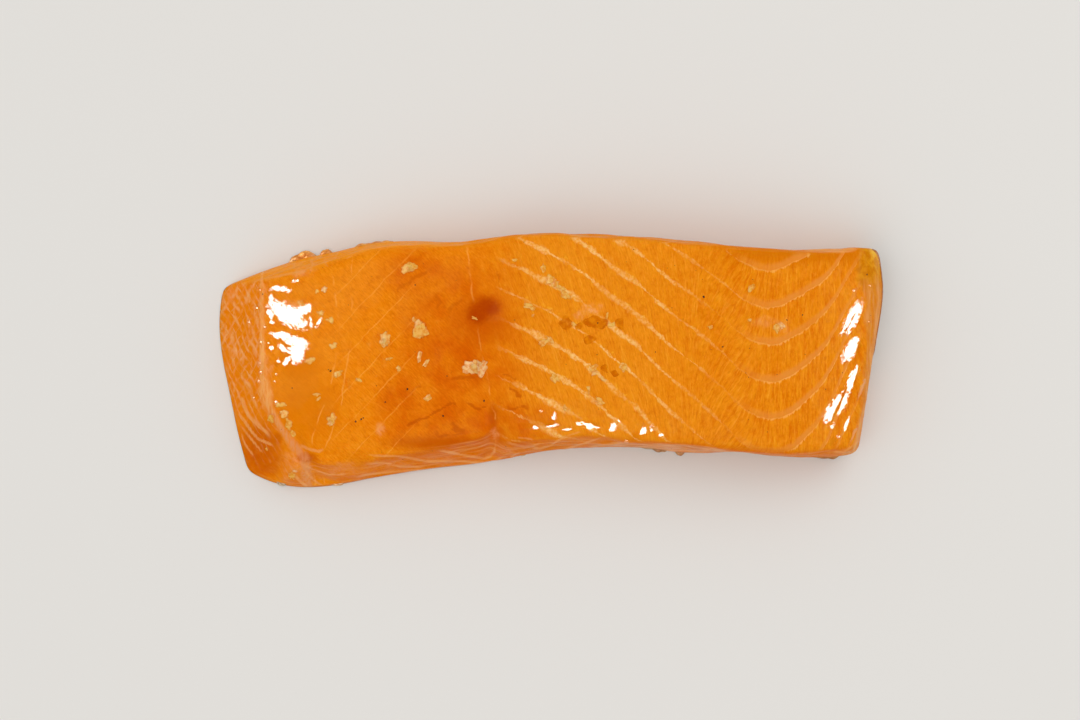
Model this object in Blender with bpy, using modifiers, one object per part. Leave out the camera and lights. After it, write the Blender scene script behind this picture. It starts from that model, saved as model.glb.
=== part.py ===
"""A portion of smoked salmon, cut across the side of the fish, lying on its skin.

It is one solid. X runs from the thin belly end to the thick loin end, Y from the front cut
to the back cut, and Z up from the skin. The origin is under the middle of the portion.
"""

import math

import bmesh
import bpy
import numpy as np
from mathutils import Matrix, Vector, noise

# Driving sizes. Plan points are (x, y) in millimetres, and MM turns them into metres.
MM = 0.001

# The foot is the skin's edge on the table. Each edge runs between two corners.
FOOT_FRONT = (
    (-83.4, -30.5), (-77.0, -33.5), (-68.6, -34.9), (-60.8, -34.5), (-49.1, -32.3),
    (-33.6, -29.8), (-18.1, -28.0), (-6.4, -25.6), (9.1, -23.6), (24.6, -23.4),
    (34.0, -24.6), (40.2, -25.0), (52.0, -24.5), (62.0, -25.7), (72.0, -26.2), (80.0, -26.4),
)
FOOT_BACK = (
    (-90.4, 20.3), (-84.1, 23.0), (-76.3, 25.9), (-68.6, 28.3), (-60.8, 29.7),
    (-52.0, 31.8), (-42.0, 32.8), (-21.6, 32.3), (-8.0, 34.0), (9.0, 33.9), (24.1, 33.4),
    (39.3, 32.1), (54.5, 30.7), (69.9, 29.8), (86.8, 30.7),
)
FOOT_BELLY = ((-83.4, -30.5), (-86.0, -21.0), (-88.5, -9.0), (-90.7, 2.0), (-91.4, 12.0), (-90.4, 20.3))
FOOT_LOIN = ((80.0, -26.4), (81.8, -14.9), (84.0, -3.0), (86.4, 9.0), (88.2, 20.0), (86.8, 30.7))

# The rim is where the cut sides turn into the top. It lies inside the foot where a side leans.
RIM_FRONT = (
    (-68.6, -28.4), (-62.0, -28.0), (-53.2, -26.4), (-42.7, -25.2), (-32.3, -24.2),
    (-22.5, -22.8), (-14.3, -20.8), (-5.5, -21.6), (6.0, -20.8), (16.0, -21.2),
    (25.0, -22.2), (40.0, -23.3), (55.0, -24.6), (66.0, -25.4), (76.0, -24.9), (82.4, -23.8),
)
RIM_BACK = (
    (-78.4, 21.2), (-73.6, 23.2), (-65.2, 25.4), (-57.2, 27.4), (-48.4, 30.6),
    (-33.1, 31.8), (-21.6, 32.4), (-11.0, 34.6), (8.9, 34.7), (24.1, 33.9),
    (39.3, 32.5), (54.5, 31.0), (69.9, 30.1), (86.3, 31.1),
)
RIM_BELLY = ((-68.6, -28.4), (-73.0, -21.0), (-75.8, -13.5), (-77.2, -3.0), (-78.6, 8.0), (-78.4, 21.2))
RIM_LOIN = ((82.4, -23.8), (84.2, -12.0), (85.4, -2.0), (86.6, 8.0), (87.8, 18.0), (86.3, 31.1))

# Thickness along the middle of the portion, as (x, thickness) in millimetres
THICKNESS = (
    (-79.0, 12.4), (-70.0, 14.6), (-60.0, 16.0), (-45.0, 17.6), (-25.0, 19.2), (0.0, 20.8),
    (25.0, 22.2), (45.0, 22.8), (60.0, 22.6), (72.0, 21.6), (80.0, 19.9), (87.0, 17.6),
)
EDGE_DROP = 2.6  # how much lower the rim is than the middle
EDGE_DROP_POWER = 3.4  # high, so that the top stays flat until near the rim
SKIN_LIP = 0.45  # how far the skin's cut edge stands out past the flesh
SIDE_BULGE = 0.4
LOIN_BULGE = 4.6  # the back of the fish, where the skin turns up round the end

# Cells of the block along X and Y, and the levels of its sides as shares of the height
CELLS_X = 50
CELLS_Y = 17
SKIN_LEVEL = 0.085
SIDE_LEVELS = (SKIN_LEVEL, 0.36, 0.68)

# Marks pressed or raised: (x, y, half width, half depth, height) in millimetres
DENTS = (
    (-17.0, 14.1, 3.0, 2.6, -0.9),
    (11.5, 9.6, 5.2, 2.2, -0.55),
    (9.0, -16.5, 13.0, 5.0, -0.6),
)
LUMPS = (
    (-38.5, 25.3, 2.4, 1.5, 0.7),
    (-35.1, 9.2, 2.0, 2.3, 0.8),
    (-44.6, 6.3, 1.8, 2.1, 0.7),
    (-20.1, -1.6, 3.2, 2.0, 0.7),
    (-71.8, -15.8, 1.7, 4.2, 0.7),
    (-71.0, -31.4, 3.0, 2.4, 1.3),
    (-58.8, -15.4, 1.6, 1.8, 0.6),
    (2.0, 21.6, 1.9, 1.5, 0.6),
    (60.5, 8.6, 2.1, 1.4, 0.6),
)

# Creases in the flesh: the points of a line, its half width and its depth. The first ones fan out
# from a pinch at the belly's front corner, and the others from a notch in the front rim.
CREASES = (
    (((-70.0, -20.5), (-68.2, -25.0), (-65.4, -29.5), (-61.5, -34.5)), 2.6, 1.3),
    (((-69.0, -24.2), (-73.0, -28.2), (-78.0, -33.0)), 2.4, 1.0),
    (((-68.0, -25.0), (-61.0, -25.4), (-53.0, -27.4)), 2.2, 0.7),
    (((-16.4, -6.0), (-14.8, -15.0)), 2.0, 0.35),
    (((-14.8, -15.0), (-14.2, -20.5), (-16.5, -26.5)), 2.6, 1.5),
    (((-14.2, -20.0), (-6.0, -18.8), (1.5, -18.4)), 2.2, 0.7),
    (((-14.2, -21.0), (-20.0, -24.2), (-32.0, -26.4), (-46.0, -29.0)), 2.2, 0.7),
)
UNEVENNESS = 0.35  # of the top, over swells about SWELL long
SWELL = 13.0
LEDGE_DEPTH = 0.45  # of the flakes that show as ledges on the cut sides
LEDGE_PITCH = 5.2
LEDGE_WANDER = 1.1
CLEAR_OF_SKIN = (1.0, 3.6)  # heights between which the relief grows from nothing to full
ON_TABLE = 1e-6  # points lower than this, in metres, are on the table


def smooth_line(points, share):
    """The point this share of the way along a smooth curve through the points."""
    points = np.array(points)
    spans = np.linalg.norm(np.diff(points, axis=0), axis=1)
    knots = np.concatenate([[0.0], np.cumsum(spans)]) / spans.sum()
    i = int(np.clip(np.searchsorted(knots, share, side="right") - 1, 0, len(spans) - 1))
    width = knots[i + 1] - knots[i]
    t = (share - knots[i]) / width
    slopes = np.gradient(points, knots, axis=0)
    start = (2 * t**3 - 3 * t**2 + 1) * points[i] + (t**3 - 2 * t**2 + t) * width * slopes[i]
    end = (3 * t**2 - 2 * t**3) * points[i + 1] + (t**3 - t**2) * width * slopes[i + 1]
    return start + end


def patch(front, back, belly, loin, u, v):
    """The plan point (u, v) of a sheet stretched between four edges that meet at corners."""
    across = (1 - v) * smooth_line(front, u) + v * smooth_line(back, u)
    along = (1 - u) * smooth_line(belly, v) + u * smooth_line(loin, v)
    near = (1 - u) * np.array(front[0]) + u * np.array(front[-1])
    far = (1 - u) * np.array(back[0]) + u * np.array(back[-1])
    return across + along - (1 - v) * near - v * far


def eased(value, low, high):
    """0 below low and 1 above high, with a smooth rise between them."""
    t = min(max((value - low) / (high - low), 0.0), 1.0)
    return t * t * (3 - 2 * t)


def thickness_at(x, v):
    """The height of the top at this x, and at v from 0 at the front rim to 1 at the back rim."""
    stations, heights = zip(*THICKNESS)
    middle = float(np.interp(x, stations, heights))
    return middle - EDGE_DROP * abs(2 * v - 1) ** EDGE_DROP_POWER


def place(u, v, w):
    """Where the corner (u, v, w) of the unit block goes in the fillet, in millimetres."""
    foot = patch(FOOT_FRONT, FOOT_BACK, FOOT_BELLY, FOOT_LOIN, u, v)
    rim = patch(RIM_FRONT, RIM_BACK, RIM_BELLY, RIM_LOIN, u, v)
    x, y = foot + (rim - foot) * w
    belly = math.sin(math.pi * w)
    side = (v > 0.999) - (v < 0.001)
    end = (u > 0.999) - (u < 0.001)
    lip = SKIN_LIP if w <= SKIN_LEVEL else 0.0
    y += side * (SIDE_BULGE * belly + lip)
    x += LOIN_BULGE * belly * eased(u, 0.93, 1.0) + end * lip
    return x, y, w * thickness_at(rim[0], v)


def cut_block():
    """A unit block cut into cells, with one face underneath."""
    block = bmesh.new()
    bmesh.ops.create_cube(block, size=1.0)
    bmesh.ops.translate(block, verts=block.verts, vec=(0.5, 0.5, 0.5))
    cuts = [((i / CELLS_X, 0, 0), (1, 0, 0)) for i in range(1, CELLS_X)]
    cuts += [((0, j / CELLS_Y, 0), (0, 1, 0)) for j in range(1, CELLS_Y)]
    cuts += [((0, 0, level), (0, 0, 1)) for level in SIDE_LEVELS]
    for point, normal in cuts:
        everything = block.verts[:] + block.edges[:] + block.faces[:]
        bmesh.ops.bisect_plane(block, geom=everything, plane_co=point, plane_no=normal)
    bmesh.ops.dissolve_faces(block, faces=[f for f in block.faces if f.normal.z < -0.5])
    return block


def smoothed_fillet():
    """The fillet's main form: the block put in place and rounded by Subdivision Surface."""
    block = cut_block()
    for vertex in block.verts:
        vertex.co = Vector(place(*vertex.co)) * MM
    crease = block.edges.layers.float.new("crease_edge")
    for edge in block.edges:
        if all(vertex.co.z < ON_TABLE for vertex in edge.verts):
            edge[crease] = 1.0
    cage = bpy.data.meshes.new("salmon_cage")
    block.to_mesh(cage)
    block.free()
    holder = bpy.data.objects.new("salmon_cage", cage)
    bpy.context.scene.collection.objects.link(holder)
    rounding = holder.modifiers.new("Rounding", "SUBSURF")
    rounding.levels = rounding.render_levels = 1
    graph = bpy.context.evaluated_depsgraph_get()
    mesh = bpy.data.meshes.new_from_object(holder.evaluated_get(graph))
    bpy.data.objects.remove(holder)
    return mesh


def hill(x, y, marks):
    """The summed height at (x, y) of round marks that fade out at their half sizes."""
    height = 0.0
    for mark_x, mark_y, half_x, half_y, rise in marks:
        distance = math.hypot((x - mark_x) / half_x, (y - mark_y) / half_y)
        height += rise * math.exp(-1.6 * distance**2)
    return height


def distance_to_line(x, y, points):
    """How far (x, y) is from the nearest part of an open line."""
    nearest = math.inf
    for (x0, y0), (x1, y1) in zip(points, points[1:]):
        dx, dy = x1 - x0, y1 - y0
        t = min(max(((x - x0) * dx + (y - y0) * dy) / (dx * dx + dy * dy), 0.0), 1.0)
        nearest = min(nearest, math.hypot(x - x0 - t * dx, y - y0 - t * dy))
    return nearest


def crease_relief(x, y):
    """How deep the creases are here, as a height below zero."""
    height = 0.0
    for points, half_width, depth in CREASES:
        height -= depth * math.exp(-1.6 * (distance_to_line(x, y, points) / half_width) ** 2)
    return height


def ledge_relief(x, z):
    """How far the flakes on a cut side stand out, as ledges that wander along the side."""
    wander = LEDGE_WANDER * noise.noise(Vector((x / 24.0, z / 14.0, 4.0)))
    return LEDGE_DEPTH * math.sin(2 * math.pi * (z / LEDGE_PITCH + wander))


def relief(x, y, z, facing_up):
    """How far the flesh stands out from its smooth form, along the outward direction."""
    swell = noise.noise(Vector((x / SWELL, y / SWELL, 0.0)))
    top = hill(x, y, DENTS) + UNEVENNESS * swell
    side = ledge_relief(x, z)
    return facing_up * top + (1 - facing_up) * side + hill(x, y, LUMPS) + crease_relief(x, y)


def add_relief(mesh):
    """Moves the points of the flesh in or out, and joins the faces underneath into one."""
    form = bmesh.new()
    form.from_mesh(mesh)
    form.normal_update()
    normals = {vertex: vertex.normal.copy() for vertex in form.verts}
    for vertex, normal in normals.items():
        x, y, z = vertex.co / MM
        facing_up = eased(normal.z, 0.1, 0.8)
        clear_of_skin = eased(z, *CLEAR_OF_SKIN)
        vertex.co += MM * clear_of_skin * relief(x, y, z, facing_up) * normal
    underside = [f for f in form.faces if all(v.co.z < ON_TABLE for v in f.verts)]
    bmesh.ops.dissolve_faces(form, faces=underside)
    form.to_mesh(mesh)
    form.free()


def centre(mesh):
    """Puts the origin under the middle of the form's length and width."""
    places = np.array([vertex.co for vertex in mesh.vertices])
    middle = (places.min(axis=0) + places.max(axis=0)) / 2
    mesh.transform(Matrix.Translation((-middle[0], -middle[1], 0.0)))


def flesh_material():
    """Orange smoked flesh, wet and glossy."""
    material = bpy.data.materials.new("smoked flesh")
    material.use_nodes = True
    shader = material.node_tree.nodes["Principled BSDF"]
    shader.inputs["Base Color"].default_value = (0.80, 0.24, 0.02, 1.0)
    shader.inputs["Roughness"].default_value = 0.25
    shader.inputs["Metallic"].default_value = 0.0
    return material


def salmon_fillet():
    """The whole portion as one solid."""
    mesh = smoothed_fillet()
    mesh.name = "salmon_fillet"
    add_relief(mesh)
    centre(mesh)
    mesh.shade_smooth()
    mesh.materials.append(flesh_material())
    return bpy.data.objects.new("salmon_fillet", mesh)


def main():
    for old in list(bpy.data.objects):
        bpy.data.objects.remove(old)
    portion = bpy.data.collections.new("smoked salmon")
    bpy.context.scene.collection.children.link(portion)
    portion.objects.link(salmon_fillet())


main()
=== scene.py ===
"""The looks of a smoked salmon portion: moist flesh with fat lines, a skin under it and flecks on it.

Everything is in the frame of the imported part: X from the belly end to the loin end, Y from the
front cut to the back cut, Z up. Places and sizes are in millimetres unless a comment says otherwise.
"""

import math
from types import SimpleNamespace

import bmesh
import bpy
import numpy as np
from mathutils import Matrix, Vector
from mathutils.bvhtree import BVHTree


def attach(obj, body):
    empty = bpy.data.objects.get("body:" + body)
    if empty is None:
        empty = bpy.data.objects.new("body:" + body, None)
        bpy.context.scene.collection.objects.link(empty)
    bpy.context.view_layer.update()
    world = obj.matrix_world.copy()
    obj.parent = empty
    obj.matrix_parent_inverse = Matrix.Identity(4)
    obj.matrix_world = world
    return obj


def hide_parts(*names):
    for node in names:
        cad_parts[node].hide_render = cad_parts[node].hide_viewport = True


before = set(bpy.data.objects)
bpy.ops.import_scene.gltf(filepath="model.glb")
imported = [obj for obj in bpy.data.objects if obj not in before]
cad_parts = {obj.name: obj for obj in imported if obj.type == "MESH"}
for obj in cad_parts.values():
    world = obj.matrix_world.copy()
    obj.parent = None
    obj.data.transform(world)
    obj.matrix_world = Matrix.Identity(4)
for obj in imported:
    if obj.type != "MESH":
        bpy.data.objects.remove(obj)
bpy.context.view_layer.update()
NODE = "salmon_fillet"
BODY = "root"
MM = 0.001
TOUCHING = 1e-6  # metres: points this close are one, and points this low are on the table

# The camera looks straight down, as in the photograph.
CAMERA_PLACE = (-2.55, 0.25, 1000.0)
SENSOR_WIDTH = 36.0
LENS = 120.0
CLIP = (0.05, 20.0)  # metres

# Lights, with their own sizes and places in metres. The fills are seen by matt surfaces alone.
SKY_COLOUR = (1.0, 0.99, 0.98, 1.0)
SKY_STRENGTH = 0.78
FILL_SIZE = (1.2, 1.2)
FILLS = {"fill_back": ((0.7, 0.8, 1.3), 6.0), "fill_front": ((-0.6, -0.9, 1.4), 3.5)}
# Soft boxes that only reflections show: the place in millimetres that each stands over, its tilts
# from straight above in degrees, its height, and half the angles that it fills in degrees
BOX_RADIANCE = 10.0
SOFT_BOXES = {
    "box_left": ((-72.0, 10.0, 15.0), (-36.0, 16.0), 0.4, (25.0, 22.0)),
    "box_right": ((80.0, -3.0, 18.0), (40.0, -6.0), 0.4, (16.0, 26.0)),
    "box_front": ((14.0, -17.0, 19.0), (-6.0, -34.0), 0.3, (14.0, 10.0)),
}
# Low panels that only reflections show, for the steep sides
PANEL_RADIANCE = 2.0
PANEL_SIZE = (0.8, 0.35)
PANEL_TARGET = (0.0, 0.0, 0.01)
PANELS = {"panel_front": (-0.2, -0.9, 0.4), "panel_back": (0.2, 0.9, 0.4), "panel_belly": (-0.9, 0.0, 0.4)}
FLOOR_SIZE = 6.0  # metres
FLOOR_HEIGHT = -0.02
FLOOR_COLOUR = (0.76, 0.745, 0.715, 1.0)

# One fat line of the loin's family. The others are the same line moved along Y by whole gaps.
SEPTUM = (
    (-24.0, 56.5), (-12.1, 51.3), (-0.9, 45.9), (8.6, 40.3), (16.3, 34.4), (24.2, 29.4), (31.5, 23.2),
    (38.9, 18.0), (46.5, 12.2), (53.0, 6.8), (57.5, 4.7), (62.4, 4.7), (65.6, 6.2), (70.3, 9.2),
    (75.2, 13.3), (78.5, 18.0), (81.2, 22.6), (84.2, 27.2), (90.0, 36.5),
)
SEPTUM_LEAN = 0.055  # how many gaps the lines shift for each millimetre down the cut sides
# What changes along X alone: the gap between the fat lines, how far the muscle fibres lean across
# one gap (positive towards the loin end at the back), and how clear and wide the cream lines are
ALONG_X = {
    "septa_gap": (
        (-20.0, 8.05), (14.0, 8.05), (27.0, 8.7), (44.0, 9.4), (55.0, 10.0), (66.0, 10.2), (72.0, 9.6),
        (76.0, 8.9), (80.0, 8.1), (86.0, 7.4),
    ),
    "fibre_lean": (
        (-12.0, -3.5), (6.0, -3.0), (22.0, -2.4), (36.0, -1.4), (44.0, 3.0), (52.0, 4.0), (60.0, 0.4),
        (76.0, 0.0), (88.0, -2.0),
    ),
    "cream_reach": (
        (-15.0, 0.0), (-9.0, 0.6), (0.0, 1.0), (26.0, 1.0), (36.0, 0.5), (46.0, 0.28), (54.0, 0.2),
        (60.0, 0.0),
    ),
    "cream_width": ((-12.0, 0.5), (0.0, 0.9), (24.0, 0.85), (34.0, 0.6), (44.0, 0.42), (60.0, 0.35)),
}
# How clear the loin's broad bands and the belly's lines are along X, on the top
ALONG_X_ON_TOP = {
    "band_reach": ((50.0, 0.0), (61.0, 1.0), (80.0, 0.9), (86.0, 0.2)),
    "belly_reach": ((-60.0, 0.0), (-55.5, 1.0), (-41.0, 0.9), (-34.0, 0.0)),
}
# The belly's fat lines are straight, thin and slanted the other way.
BELLY_LINE_THROUGH = (-48.0, 18.9)
BELLY_LINE_SLOPE = 1.04
BELLY_LINE_GAP = 9.6

# The height of the top along X
TOP_HEIGHT = ((-80.0, 12.5), (-60.0, 16.0), (0.0, 20.5), (50.0, 22.5), (90.0, 19.0))
# Thin seams that run from the back to the front: how strongly each shows, and its points as (y, x)
SEAMS = {
    "seam_middle": (0.45, (
        (-19.5, -14.8), (-13.9, -14.9), (-12.4, -15.6), (-6.3, -16.4), (5.0, -19.0), (9.5, -19.6),
        (21.4, -21.4), (30.0, -22.4),
    )),
    "seam_belly": (0.6, (
        (-21.0, -65.0), (-17.5, -63.6), (-6.0, -59.6), (1.6, -58.3), (8.7, -57.4), (25.9, -59.6),
    )),
    "seam_corner": (0.5, (
        (-27.0, -62.6), (-24.0, -61.4), (-13.4, -57.0), (-4.4, -56.1), (5.0, -54.0),
    )),
}
SEAM_HALF_WIDTH = 0.32
# The pale membrane along the rim of the belly face, as (y, x, half width)
MEMBRANE = (
    (-26.6, -67.0, 1.5), (-24.6, -69.2, 2.0), (-21.3, -71.5, 1.4), (-17.2, -74.3, 1.0),
    (-12.3, -77.0, 1.3), (-8.6, -78.0, 2.0), (-4.0, -78.4, 1.1), (7.6, -78.8, 0.7),
    (20.0, -79.0, 0.6), (23.0, -79.4, 0.4),
)
# Where the milky end of the loin begins, as (y, x)
LOIN_EDGE = (
    (-27.0, 79.5), (-22.7, 83.0), (-17.5, 84.5), (-11.5, 85.5), (-3.8, 85.9), (4.3, 86.5), (7.9, 86.5),
    (11.0, 85.9), (14.2, 86.4), (17.2, 86.2), (19.3, 85.1), (21.6, 84.5), (26.7, 84.7), (29.2, 85.1),
)
AMBER_FROM_Y = 21.0
# The bare brown muscle on the front cut: the line of its rim, and how high it reaches
BROWN_BAND_RIM = (
    (13.9, -22.8), (22.4, -22.2), (28.1, -22.5), (37.4, -22.8), (43.7, -23.4), (46.9, -23.9), (50.0, -24.8),
)
BROWN_BAND_HEIGHT = (
    (2.0, -2.0), (9.0, 4.0), (16.0, 14.0), (23.0, 23.0), (34.0, 27.0), (45.0, 24.0), (55.0, 15.0),
    (65.0, 7.0), (78.0, -2.0),
)
BROWN_BAND_FADE = 0.05  # how much softer its upper end is than its rim

# Pale strands of tissue on the cut faces: half width, strength, then points
STRANDS = (
    (0.42, 0.9, ((-86.6, -12.9), (-85.8, -14.9), (-84.3, -16.8), (-82.1, -19.7), (-80.4, -21.6),
                 (-76.9, -23.0), (-74.6, -24.3))),
    (0.40, 0.7, ((-86.4, -17.2), (-85.0, -18.5), (-83.5, -20.3), (-80.4, -24.1), (-78.3, -26.4))),
    (0.40, 0.7, ((-85.5, -19.3), (-85.1, -21.6), (-84.0, -23.7), (-81.3, -26.8))),
    (0.65, 0.8, ((-86.9, -8.9), (-84.8, -10.7), (-83.1, -15.1), (-79.6, -18.4), (-77.7, -19.7),
                 (-75.9, -22.4))),
    (0.60, 0.6, ((-84.9, -4.5), (-83.6, -6.6), (-81.7, -10.1), (-80.5, -12.6), (-79.7, -13.6))),
    (0.60, 0.6, ((-69.4, -22.9), (-65.9, -24.1), (-63.2, -24.8), (-61.1, -23.7))),
    (0.50, 0.9, ((-70.4, -31.2), (-68.7, -33.5), (-66.7, -34.9))),
    (0.38, 0.8, ((-67.6, -29.0), (-66.4, -31.5), (-64.1, -33.9), (-62.0, -34.7))),
    (0.38, 0.6, ((-69.0, -27.6), (-65.4, -29.6), (-61.0, -31.4), (-54.0, -31.0))),
    (0.42, 0.8, ((-53.5, -25.1), (-47.7, -25.8), (-41.1, -26.1), (-33.7, -27.6), (-24.4, -27.6),
                 (-19.1, -28.2), (-15.1, -27.8), (-11.5, -25.5), (-7.6, -23.8))),
    (0.45, 0.8, ((-32.1, -24.1), (-29.1, -24.7), (-23.1, -26.0), (-17.8, -26.9), (-16.3, -26.3),
                 (-15.1, -24.9), (-14.5, -21.3))),
    (0.40, 0.7, ((-52.0, -28.4), (-45.4, -27.9), (-41.2, -29.2), (-35.2, -29.2), (-32.8, -28.3))),
    (0.38, 0.7, ((-56.0, -32.6), (-49.6, -31.3), (-41.3, -30.5), (-32.3, -29.7))),
    (0.38, 0.7, ((-26.9, -29.0), (-20.3, -29.1), (-14.3, -28.4), (-11.2, -27.4), (-9.8, -25.9),
                 (-7.7, -25.0), (-5.9, -24.7))),
    (0.50, 0.6, ((-13.0, -21.8), (-10.6, -22.6), (-6.7, -23.6), (-4.4, -23.3), (-1.4, -21.8))),
    (0.40, 0.6, ((-9.1, -20.9), (-6.7, -21.0), (-5.0, -21.3), (-4.1, -21.9))),
    (0.36, 0.8, ((-5.8, -24.0), (-2.3, -24.1), (0.1, -23.4), (1.9, -21.9), (5.7, -19.5))),
    (0.36, 0.7, ((-1.2, -25.4), (3.0, -24.8), (9.3, -22.6), (15.6, -20.4))),
    (0.34, 0.6, ((2.9, -21.5), (5.7, -20.2), (9.2, -19.0))),
    (0.36, 0.7, ((10.2, -24.2), (14.0, -23.1), (17.2, -22.5), (23.2, -22.3))),
    (0.40, 0.7, ((76.8, -24.8), (80.7, -24.8), (83.4, -22.9), (85.6, -21.5))),
    (0.80, 0.8, ((66.0, 31.2), (74.1, 30.6), (78.4, 30.1), (81.7, 30.2), (86.1, 31.2))),
    (0.34, 0.6, ((-70.7, 27.5), (-70.1, 24.7))),
    (0.30, 0.8, ((-66.1, 28.4), (-64.9, 25.9))),
    (0.34, 0.5, ((-62.1, 29.3), (-61.8, 27.2), (-60.3, 25.3))),
    (0.34, 0.6, ((-58.4, 30.2), (-59.0, 27.8))),
    (0.34, 0.5, ((-72.3, 26.5), (-73.8, 24.7))),
    (0.34, 0.5, ((-52.8, 30.5), (-54.0, 28.9), (-56.1, 27.7))),
    (0.55, 0.5, ((-80.1, 21.9), (-75.5, 23.1), (-70.9, 24.0), (-64.7, 24.6))),
)
# Fine dark veins of the red region, listed in the same way
VEINS = (
    (0.38, 0.9, ((-40.7, -16.9), (-38.8, -17.7), (-37.4, -16.7), (-32.0, -14.5), (-29.0, -13.4),
                 (-26.8, -12.0), (-24.9, -11.5), (-23.8, -11.7))),
    (0.38, 1.0, ((-23.0, -11.5), (-21.1, -12.0), (-18.9, -12.8), (-17.0, -12.6))),
    (0.52, 0.7, ((-27.9, -16.7), (-26.5, -17.7), (-24.9, -18.8), (-21.6, -19.1))),
    (0.75, 0.7, ((-27.6, -4.1), (-26.0, -4.7), (-24.4, -5.2), (-22.2, -5.2), (-19.7, -4.7),
                 (-17.8, -4.7))),
    (0.45, 0.6, ((-12.9, -3.3), (-11.3, -3.3), (-9.1, -4.7), (-8.0, -4.9))),
    (0.45, 0.8, ((-11.3, -6.6), (-10.2, -7.4), (-8.3, -8.7), (-7.2, -11.2))),
    (0.45, 0.7, ((-12.4, -13.4), (-10.2, -12.6), (-8.3, -12.8), (-5.3, -13.1))),
    (0.90, 0.5, ((-41.8, 17.7), (-41.3, 19.6), (-39.9, 21.2), (-37.2, 22.3), (-34.2, 24.0),
                 (-32.3, 25.6))),
    (0.68, 0.5, ((-31.7, 18.2), (-29.8, 16.1), (-30.4, 14.7), (-31.7, 13.6))),
    (0.68, 0.5, ((-24.9, 18.5), (-24.6, 16.9), (-26.3, 14.4), (-27.4, 12.2))),
    (0.52, 0.7, ((-23.3, 15.0), (-22.7, 13.3), (-21.1, 11.2), (-18.9, 10.6), (-16.7, 10.3))),
    (0.45, 0.5, ((-14.0, 25.1), (-13.7, 22.9), (-14.0, 21.0))),
    (0.45, 0.5, ((-38.5, -9.6), (-36.1, -7.7), (-34.2, -6.8))),
    (0.60, 0.6, ((-32.5, -19.4), (-29.8, -20.5), (-25.5, -19.9), (-21.6, -19.4))),
)

# Soft-edged marks: (x, y, half length, half width) and, where a mark isn't along X, its turn in degrees
MARKS = {
    "bruise": ((-17.3, 14.5, 4.9, 3.7), (-19.4, 12.6, 4.0, 3.2)),
    "bruise_shade": ((-18.5, 11.0, 9.0, 8.0),),
    "red": (
        (-24.0, 4.0, 19.0, 28.0), (-24.0, -17.0, 20.0, 12.0), (-36.0, 24.0, 10.0, 8.0),
        (-6.0, -17.0, 9.0, 6.0), (-82.0, -27.0, 9.0, 8.0), (-40.0, -12.0, 8.0, 12.0),
    ),
    # Shallow dents in folds and under the membrane, whose darker colour is painted shade
    "deep": (
        (-74.6, -21.3, 1.5, 2.2), (-66.8, -26.6, 3.4, 1.6), (-77.5, -20.5, 1.6, 1.4),
        (-30.0, -22.4, 16.0, 2.2), (-15.4, -15.6, 1.4, 4.0), (-8.0, -22.6, 3.4, 1.1),
        (-80.0, -24.0, 7.0, 8.0),
    ),
    "yellow": (
        (-76.0, -12.0, 1.5, 6.0), (-66.0, -13.0, 11.0, 11.0), (-68.0, -2.0, 7.0, 6.0),
        (-68.2, -34.0, 2.2, 1.4), (23.4, -21.0, 1.4, 2.0), (-2.0, -18.0, 3.2, 3.0),
    ),
    "wet": (
        (-74.2, 19.8, 4.0, 0.71, -9), (-69.9, 22.1, 1.2, 0.55, 5), (-76.4, 17.3, 2.0, 0.60, -60),
        (-71.8, 12.8, 6.6, 2.7, -33), (-67.2, 14.0, 3.0, 1.3, 19), (-76.6, 12.8, 1.6, 0.71, -66),
        (-76.0, 10.6, 0.7, 0.50, 0), (-65.4, 10.4, 1.5, 0.55, -76), (-63.1, 10.5, 1.6, 0.45, 61),
        (-73.4, 7.0, 3.6, 0.95, -8), (-69.2, 5.0, 3.8, 1.9, -18), (-69.2, 2.4, 3.3, 2.6, 86),
        (-76.2, 3.6, 0.9, 0.55, -7), (-73.1, 3.5, 1.6, 0.71, -45), (-74.4, -0.4, 1.4, 0.55, 67),
        (-71.9, 0.0, 1.5, 0.71, 50), (-80.4, 15.0, 1.1, 0.45, 76), (-79.6, -0.7, 1.2, 0.45, 78),
        (82.6, 11.6, 5.6, 1.8, 61), (82.4, 3.3, 4.4, 1.9, 56), (78.2, -12.4, 5.6, 1.9, 51),
        (82.7, -5.0, 4.4, 1.3, 66), (85.0, -8.0, 3.2, 0.7, 66), (81.1, -17.2, 2.2, 0.6, 70),
        (83.0, -20.1, 2.6, 0.6, 60), (77.2, -21.9, 1.6, 1.0, 69), (77.0, -17.4, 1.1, 0.50, 85),
        (-3.8, -18.1, 0.9, 0.45, 0), (0.3, -17.5, 2.3, 0.50, 4), (1.3, -15.1, 1.3, 0.50, 74),
        (8.8, -17.1, 1.5, 0.50, 0), (12.2, -17.6, 2.1, 0.95, 14), (17.6, -17.7, 2.0, 0.80, 50),
        (25.5, -19.1, 1.5, 0.75, 45), (27.8, -18.1, 1.1, 0.50, 70), (30.3, -20.2, 0.8, 0.50, 34),
        (4.9, -18.8, 1.4, 0.45, 0),
    ),
}
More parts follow.
